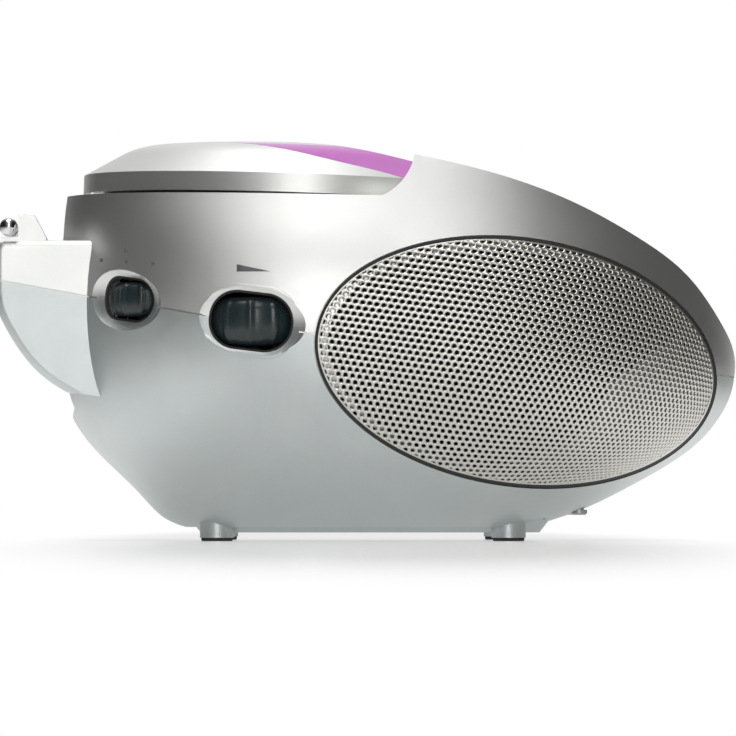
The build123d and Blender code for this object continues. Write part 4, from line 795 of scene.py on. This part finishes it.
@dataclass
class WindowLip:
    """The smooth edge of a wheel's window in its dish, and the black ring inside it, which paints the
    shade in the gap round the wheel.

    Attributes:
        name: Name of the wheel.
        side: Which side of the radio it is on.
        wall: Distance out, Y and Z of the window's middle.
        yaw: How far the window faces towards the rear, in degrees.
        window: Length and height of the opening.
        shift: How far the dish is shifted along the window.
        corner: Radius of the opening's corners.
        tilt: How far the window slopes along the seam, in degrees.
        margin: How far the dish reaches past the opening, along it and across it.
        depth: Depth of the dish.
        lip: Section of the lip, as distance out from the opening and height over the dish.
        ring: Section of the black ring of painted shade, in the same way.
        seam: How far each half of the lip stops short of the seam.
        beyond: How far past the dish the casing is measured.
        lowest: Lowest height at which a measured point still belongs to the casing.
    """

    name: str
    side: Side
    wall: Triple
    yaw: float
    window: Pair
    shift: float
    corner: float = 8.0
    tilt: float = 7.0
    margin: Pair = (7.4, 3.0)
    depth: float = 4.4
    lip: Outline = ((0.25, -0.9), (0.25, 0.04), (0.9, 0.05), (1.6, 0.05), (2.3, 0.04), (2.5, -0.3))
    ring: Outline = ((-0.3, -0.6), (-0.3, -0.2), (-0.15, 0.05), (0.1, 0.12), (0.4, 0.1), (0.45, 0.0))
    seam: float = 0.12
    beyond: float = 1.5
    lowest: float = -9.0

    def build(self) -> None:
        """Make the lip's two halves, one on each shell, and the black ring of painted shade."""
        self._place()
        self._measure_wall()
        # Black ring round the opening: painted shade for the shadowed gap round the wheel.
        self._piece("ring", self._band(self.ring), BLACK_RUBBER)
        for half, finish, slot in ((1, SILVER_LACQUER, "upper_case"), (-1, PEARL_SHELL, "lower_case")):
            shape = self._band(self.lip)
            parts = [*shape.verts, *shape.edges, *shape.faces]
            away = Vector((0, -half * self.side.value, 0))
            bmesh.ops.bisect_plane(
                shape, geom=parts, dist=1e-5, clear_outer=True, plane_no=away,
                plane_co=-self.seam * away,
            )
            self._piece("upper" if half > 0 else "lower", shape, finish)

    def _band(self, section: Outline) -> BMesh:
        """Make a band round the opening, in the window's own coordinates, from a section."""
        shape, rings = bmesh.new(), []
        straight = 0.05
        for grow, level in section:
            long, high = (size / 2 + grow for size in self.window)
            corner = min(self.corner + grow, high - straight)
            made = bmesh.ops.create_circle(shape, cap_ends=False, segments=96, radius=corner)["verts"]
            for vertex in made:
                vertex.co.x += math.copysign(long - corner, vertex.co.x)
                vertex.co.y += math.copysign(high - corner, vertex.co.y)
                x, y = vertex.co.x, vertex.co.y
                casing = float(self._terms(x, y) @ self.weights)
                vertex.co.z = min(self._dish(x, y), casing) + level
            rings.append(made)
        bridge(shape, rings)
        bmesh.ops.recalc_face_normals(shape, faces=shape.faces[:])
        return shape

    def _dish(self, x: float, y: float) -> float:
        """Give the height of the dish at a point of the window's plane."""
        half_length, half_height = (size / 2 + past for size, past in zip(self.window, self.margin))
        radius = (half_height**2 + self.depth**2) / (2 * self.depth)
        along = (x - self.shift) * half_height / half_length
        return radius - self.depth - math.sqrt(radius**2 - along**2 - y**2)

    def _place(self) -> None:
        """Work out where the window's own coordinates, in millimetres, lie in the scene."""
        turn, side = math.radians(self.yaw), self.side.value
        self.out = Vector((side * math.cos(turn), math.sin(turn), 0))
        along = Vector((-side * math.sin(turn), math.cos(turn), 0))
        place = Matrix((along, self.out.cross(along), self.out)).transposed().to_4x4()
        place.translation = Vector((side * self.wall[0], self.wall[1], self.wall[2])) * MM
        lean = Matrix.Rotation(math.radians(side * self.tilt), 4, "Z")
        self.place = place @ Matrix.Scale(MM, 4) @ lean

    @staticmethod
    def _terms(x: float, y: float) -> np.ndarray:
        """Give the terms of a gently curved surface at a point."""
        return np.array((1, x, y, x * x, x * y, y * y))

    def _measure_wall(self) -> None:
        """Fit a gently curved surface to the casing just outside the dish."""
        trees = [wall_rays(node) for node in ("upper_case", "lower_case")]
        back = self.place.inverted()
        rows, heights = [], []
        points, above = 36, 40.0
        for step in range(points):
            turn = 2 * math.pi * step / points
            x = self.shift + (self.window[0] / 2 + self.margin[0] + self.beyond) * math.cos(turn)
            y = (self.window[1] / 2 + self.margin[1] + self.beyond) * math.sin(turn)
            start = self.place @ Vector((x, y, above))
            hits = [tree.ray_cast(start, -self.out)[0] for tree in trees]
            found = [(back @ hit).z for hit in hits if hit is not None]
            if found and max(found) > self.lowest:
                rows.append(self._terms(x, y))
                heights.append(max(found))
        self.weights = np.linalg.lstsq(np.array(rows), np.array(heights), rcond=None)[0]

    def _piece(self, part: str, shape: BMesh, finish: Finish) -> None:
        """Put a mesh in the window's coordinates in its place."""
        bmesh.ops.transform(shape, matrix=self.place, verts=shape.verts[:])
        turn_outward(shape, self.out)
        new_piece(f"{self.name}_window_{part}", shape, finish, "body")


WHEEL_WINDOWS = tuple(
    WindowLip(name, side, wall, yaw, window, shift)
    for names, wall, yaw, window, shift in (
        (("volume", "tuning"), (100.6, 36.1, 65.2), 5.0, (24.5, 16.7), 3.0),
        (("function", "band"), (83.4, 74.2, 72.2), 41.0, (19.6, 12.4), 0.5),
    )
    for name, side in zip(names, Side)
)


@dataclass
class SideLegends:
    """Plain printed marks beside the wheels: a rising wedge and small position ticks.

    Attributes:
        side: Which side they are on.
        wedge: Y of the wide end, Y of the point, Z of the level edge and height of the wide end.
        ticks: Y and Z of the position ticks above the small knob.
        tick: Half the width of a tick.
        thick: Thickness of the print.
    """

    side: Side
    wedge: tuple[float, float, float, float] = (40.1, 30.1, 79.9, 2.2)
    ticks: Outline = ((80.9, 84.1), (73.0, 83.3), (65.0, 82.5), (73.4, 86.8))
    tick: float = 0.5
    thick: float = 0.06

    def build(self) -> None:
        """Make the marks, laid on the wall."""
        shape = bmesh.new()
        wide, point, level, height = self.wedge
        corners = [(wide, level), (wide, level + height), (point, level)]
        made = [shape.verts.new((0, y * MM, z * MM)) for y, z in corners]
        shape.faces.new(made)
        for y, z in self.ticks:
            bmesh.ops.create_grid(
                shape, x_segments=1, y_segments=1, size=self.tick * MM,
                matrix=Matrix.Translation((0, y * MM, z * MM)) @ Matrix.Rotation(math.pi / 2, 4, "Y"),
            )
        bmesh.ops.subdivide_edges(shape, edges=shape.edges[:], cuts=3, use_grid_fill=True)
        rays = wall_rays("upper_case")
        for vertex in shape.verts:
            start = Vector((self.side.value * FAR, vertex.co.y, vertex.co.z))
            hit = rays.ray_cast(start, Vector((-self.side.value, 0, 0)))[0]
            if hit is not None:
                vertex.co = hit + Vector((self.side.value * self.thick * MM, 0, 0))
        bmesh.ops.recalc_face_normals(shape, faces=shape.faces[:])
        for face in shape.faces:
            if face.normal.x * self.side.value < 0:
                face.normal_flip()
        name = f"{self.side.name.lower()}_print"
        thicken(new_piece(name, shape, PRINT_GREY, "body"), self.thick)


def top_face(node: str) -> Matrix:
    """Give the place of a CAD node's widest upward face: X across, Y up the slope, Z out of it.

    Args:
        node: Name of the CAD node.

    Returns:
        The matrix of that place, in metres.
    """
    upward = 0.3
    groups: dict[tuple[float, ...], list[bpy.types.MeshPolygon]] = {}
    for face in bpy.data.objects[node].data.polygons:
        if face.normal.z > upward:
            groups.setdefault(tuple(round(part, 2) for part in face.normal), []).append(face)
    widest = max(groups.values(), key=lambda faces: sum(face.area for face in faces))
    area = sum(face.area for face in widest)
    out = widest[0].normal.copy()
    across = Vector((1, 0, 0))
    place = Matrix((across, out.cross(across), out)).transposed().to_4x4()
    middle = sum((face.center * face.area for face in widest), Vector()) / area
    level = max(face.center.dot(out) for face in widest)
    place.translation = middle + out * (level - middle.dot(out))
    return place


def triangle(x: float, width: float, height: float) -> Outline:
    """Give a triangle that starts at x and points along its width, left if that is negative."""
    return (x, -height / 2), (x + width, 0.0), (x, height / 2)


def bar(x: float, y: float, width: float, height: float) -> Outline:
    """Give a rectangle about a point."""
    left, right, low, high = x - width / 2, x + width / 2, y - height / 2, y + height / 2
    return (left, low), (right, low), (right, high), (left, high)


LIGHT_MARK = (PRINT_WHITE, "grille_sheet")
DARK_MARK = (SCALE_BLACK, "dial_scale")

BUTTON_SIGNS: dict[str, tuple[Outline, ...]] = {
    "stop": (bar(0, 0, 2.4, 2.4),),
    "back": (triangle(0, -2.2, 2.8), triangle(2.2, -2.2, 2.8)),
    "play": (triangle(-2.4, 2.4, 2.8), bar(1.2, 0, 0.7, 2.6), bar(2.5, 0, 0.7, 2.6)),
    "forward": (triangle(0, 2.2, 2.8), triangle(-2.2, 2.2, 2.8)),
    "program": (bar(0, 1.1, 3.6, 0.55), bar(0, 0, 3.6, 0.55), bar(0, -1.1, 3.6, 0.55)),
}


@dataclass
class HoodPrint:
    """Marks on the hood's controls: signs on the buttons, digits in the display, a scale on the dial.

    Attributes:
        digit: Width and height of a display digit.
        stroke: Width of a digit's strokes.
        scale_half: Half the length of the dial's scale.
        upper: Numbers over the scale.
        lower: Numbers under it.
        letter: Height of the numbers.
        away: Distance of their middles from the scale's line.
        line: Thickness of that line.
        tick: Width of a tick, and the heights of a long and a short one.
        thick: Thickness of the print.
    """

    digit: Pair = (4.2, 7.2)
    stroke: float = 0.9
    scale_half: float = 38.0
    upper: tuple[int, ...] = (88, 92, 96, 100, 104, 108)
    lower: tuple[int, ...] = (54, 65, 80, 100, 130, 160)
    letter: float = 2.3
    away: float = 2.4
    line: float = 0.25
    tick: Triple = (0.22, 2.0, 1.1)
    thick: float = 0.04

    def build(self) -> None:
        """Make all the marks."""
        for name, outlines in BUTTON_SIGNS.items():
            shape = self._filled(outlines)
            self._lay(f"{name}_sign", shape, f"{name}_button", LIGHT_MARK, f"{name}_key")
        self._lay("display_digits", self._digits(), "display_module", DARK_MARK, "body")
        self._lay("dial_marks", self._scale(), "dial_scale", LIGHT_MARK, "body")

    def _filled(self, outlines: Iterable[Outline]) -> BMesh:
        """Fill flat outlines, in millimetres."""
        shape = bmesh.new()
        for outline in outlines:
            shape.faces.new([shape.verts.new((x, y, 0)) for x, y in outline])
        return shape

    def _digits(self) -> BMesh:
        """Make the strokes of two zeros."""
        width, height = self.digit
        strokes, spread = [], 0.7 * width
        flat = width - 1.4 * self.stroke
        for middle in (-spread, spread):
            strokes += [bar(middle, up, flat, self.stroke) for up in (-height / 2, height / 2)]
            for side in (-width / 2, width / 2):
                for up in (-height / 4, height / 4):
                    strokes.append(bar(middle + side, up, self.stroke, height / 2 - self.stroke))
        return self._filled(strokes)

    def _scale(self) -> BMesh:
        """Make the dial's line, ticks and two rows of numbers."""
        parts = [bar(0, 0, 2 * self.scale_half, self.line)]
        width, long, short = self.tick
        steps = 4 * (len(self.upper) - 1)
        for step in range(steps + 1):
            x = self.scale_half * (2 * step / steps - 1)
            parts.append(bar(x, 0, width, long if step % 4 == 0 else short))
        shape = self._filled(parts)
        for row, up in ((self.upper, self.away), (self.lower, -self.away)):
            for index, number in enumerate(row):
                x = self.scale_half * (2 * index / (len(row) - 1) - 1)
                self._write(shape, str(number), x, up)
        return shape

    def _write(self, shape: BMesh, text: str, x: float, y: float) -> None:
        """Add a number to a mesh.

        Args:
            shape: The mesh, in millimetres.
            text: What is written.
            x: Middle of the text.
            y: Middle of the text.
        """
        words = bpy.data.curves.new("number", "FONT")
        words.body, words.size = text, self.letter
        words.align_x, words.align_y = "CENTER", "CENTER"
        holder = bpy.data.objects.new("number", words)
        mesh = bpy.data.meshes.new_from_object(holder)
        mesh.transform(Matrix.Translation((x, y, 0)))
        shape.from_mesh(mesh)
        bpy.data.objects.remove(holder)
        bpy.data.curves.remove(words)
        bpy.data.meshes.remove(mesh)

    def _lay(
        self, name: str, shape: BMesh, node: str, mark: tuple[Finish, str], body: str
    ) -> None:
        """Lay a flat mesh on the top face of a CAD node, as thin print.

        Args:
            name: Name of the piece.
            shape: The mesh, in millimetres.
            node: The CAD node that carries it.
            mark: Its finish, and a slot name that the code does not use.
            body: The body that it rides on.
        """
        bmesh.ops.solidify(shape, geom=shape.faces[:], thickness=-self.thick)
        bmesh.ops.translate(shape, verts=shape.verts[:], vec=(0, 0, self.thick))
        bmesh.ops.recalc_face_normals(shape, faces=shape.faces[:])
        bmesh.ops.scale(shape, vec=(MM, MM, MM), verts=shape.verts[:])
        bmesh.ops.transform(shape, matrix=top_face(node), verts=shape.verts[:])
        finish, slot = mark
        new_piece(name, shape, finish, body, smooth=False)


@dataclass
class Studio:
    """Floor, lights and the camera at the photograph's viewing angle.

    Attributes:
        eye: Where the camera stands.
        aim: What it looks at.
        lens: Focal length, for a sensor 36 mm wide.
        ambient: Strength of the room's light at the middle and at both ends.
        backdrop: Strength of the white backdrop behind the object, at the middle and at both ends.
        floor_fade: Distances from the middle between which the floor turns plain white.
        floor_squeeze: How much of the distance across the view counts for that, from front to back.
        floor_band: Distances to either end between which the floor stops shining on the object.
        room_fade: How far towards either end the room's light dims, as a share of its direction.
        backdrop_fade: The same for the backdrop.
        far_fade: How far towards +X a direction points where the room gives way to the backdrop.
        floor_grey: Lightness of the floor close to the object.
        floor_gloss: Its roughness there.
        floor_white: How plain white the floor is at both ends of its fade.
        floor_glow: How much of that white shines on the object, inside and outside the band.
        floor_half: Half the floor's width.
        lamps: Name, place, aim, size and watts of each soft rectangular lamp.
    """

    eye: Triple = (-2.0, 0.0149, 0.010)
    aim: Triple = (0.0, 0.0006, 0.0535)
    lens: float = 315.0
    ambient: Pair = (0.34, 0.02)
    backdrop: Pair = (1.0, 0.03)
    floor_fade: Pair = (0.06, 0.115)
    floor_squeeze: float = 0.095
    floor_band: Pair = (0.15, 0.4)
    room_fade: Pair = (0.10, 0.75)
    backdrop_fade: Pair = (0.15, 0.65)
    far_fade: Pair = (0.1, 0.6)
    floor_grey: float = 0.85
    floor_gloss: float = 0.16
    floor_white: Pair = (0.4, 1.0)
    floor_glow: Pair = (1.0, 0.05)
    floor_half: float = 4.0
    lamps: tuple[tuple[str, Triple, Triple, Pair, float], ...] = (
        ("Key", (-1.5, 0.02, 0.5), (0, -0.005, 0.06), (0.4, 0.9), 4.4),
        ("Top", (-0.8, 0.05, 1.25), (0, 0.0, 0.08), (0.5, 0.5), 2.7),
        ("Sky", (0.05, 0.15, 1.3), (0, 0.03, 0.1), (0.8, 0.6), 6.5),
    )

    def build(self) -> None:
        """Set the whole stage."""
        self._camera()
        self._world()
        self._floor()
        for name, place, aim, size, power in self.lamps:
            data = bpy.data.lights.new(name, "AREA")
            data.shape, data.energy = "RECTANGLE", power
            data.size, data.size_y = size
            self._hang(name, data, place, aim)

    def _camera(self) -> None:
        """Make the camera."""
        data = bpy.data.cameras.new("Camera")
        data.lens, data.sensor_width = self.lens, 36.0
        data.clip_start, data.clip_end = 0.05, 50.0
        bpy.context.scene.camera = self._hang("Camera", data, self.eye, self.aim)

    def _world(self) -> None:
        """Light the room, brightest towards the camera and dim at both ends, and show white behind."""
        world = bpy.data.worlds.new("Studio")
        bpy.context.scene.world = world
        world.use_nodes = True
        world.node_tree.nodes.clear()
        graph = Graph(world.node_tree)
        way, split, path, level, soft, mix, leave = (graph.add(kind) for kind in (
            "TexCoord", "SeparateXYZ", "LightPath", "Mix", "Background", "MixShader", "OutputWorld",
        ))
        end = graph.add("Math", operation="ABSOLUTE")
        white = graph.add("Background", {"Color": WHITE})
        graph.join(
            (way, "Generated", split, "Vector"), (split, "Y", end, 0),
            (level, "Result", soft, "Strength"), (path, "Is Camera Ray", mix, "Fac"),
            (soft, 0, mix, 1), (white, 0, mix, 2), (mix, 0, leave, "Surface"),
        )
        graph.fade((split, "X"), (level, "Factor"), self.far_fade, (0.0, 1.0))
        graph.fade((end, 0), (level, "A"), self.room_fade, self.ambient)
        graph.fade((end, 0), (level, "B"), self.backdrop_fade, self.backdrop)

    def _floor(self) -> None:
        """Make the white floor, which near the object keeps its soft shadow and a faint reflection."""
        shape = bmesh.new()
        bmesh.ops.create_grid(shape, x_segments=1, y_segments=1, size=self.floor_half)
        mesh = bpy.data.meshes.new("Floor")
        shape.to_mesh(mesh)
        shape.free()
        floor = bpy.data.objects.new("Floor", mesh)
        bpy.context.scene.collection.objects.link(floor)
        material = bpy.data.materials.new("Studio floor")
        material.use_nodes = True
        mesh.materials.append(material)
        graph, nodes = Graph(material.node_tree), material.node_tree.nodes
        shader = nodes["Principled BSDF"]
        grey = (self.floor_grey, self.floor_grey, self.floor_grey, 1)
        graph.fill(shader, {"Base Color": grey, "Roughness": self.floor_gloss})
        white = graph.add("Emission", {"Color": WHITE})
        place, split, path, mix = (
            graph.add(kind) for kind in ("TexCoord", "SeparateXYZ", "LightPath", "MixShader")
        )
        squeeze = graph.add("VectorMath", {1: (self.floor_squeeze, 1.0, 1.0)}, operation="MULTIPLY")
        reach = graph.add("VectorMath", operation="LENGTH")
        end, seen, share = (
            graph.add("Math", operation=operation) for operation in ("ABSOLUTE", "MAXIMUM", "MULTIPLY")
        )
        graph.join(
            (place, "Object", squeeze, 0), (squeeze, "Vector", reach, 0),
            (place, "Object", split, "Vector"), (split, "Y", end, 0),
            (path, "Is Camera Ray", seen, 1), (seen, 0, share, 1), (share, 0, mix, "Fac"),
            (shader, 0, mix, 1), (white, 0, mix, 2), (mix, 0, nodes["Material Output"], "Surface"),
        )
        graph.fade((end, 0), (seen, 0), self.floor_band, self.floor_glow)
        graph.fade((reach, "Value"), (share, 0), self.floor_fade, self.floor_white)

    @staticmethod
    def _hang(name: str, data: bpy.types.ID, place: Triple, aim: Triple) -> bpy.types.Object:
        """Put a camera or a lamp in its place, pointing at its aim."""
        item = bpy.data.objects.new(name, data)
        bpy.context.scene.collection.objects.link(item)
        item.location = place
        line = Vector(aim) - Vector(place)
        item.rotation_euler = line.to_track_quat("-Z", "Y").to_euler()
        return item


def dress_nodes(nodes: dict[str, bpy.types.Object]) -> None:
    """Give every CAD node its finish.

    Args:
        nodes: The frame's nodes by name.
    """
    for finish, names in FINISHED_NODES.items():
        for name in names:
            materials = nodes[name].data.materials
            materials.clear()
            materials.append(finish.material())
        LOG.info("%s: %s", finish.name, ", ".join(names))


def main() -> None:
    """Dress the radio and set the stage."""
    logging.basicConfig(level=logging.INFO, format="%(name)s %(message)s")
    for item in list(bpy.data.objects):
        bpy.data.objects.remove(item)
    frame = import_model()
    bpy.context.scene.view_settings.view_transform = "Standard"
    Studio().build()
    dress_nodes(frame["nodes"])
    for side in Side:
        PerforatedGrille(side).build()
        SideLegends(side).build()
    for control in (*THUMBWHEELS, *WHEEL_WINDOWS):
        control.build()
    HoodPrint().build()


if __name__ == "__main__":
    main()
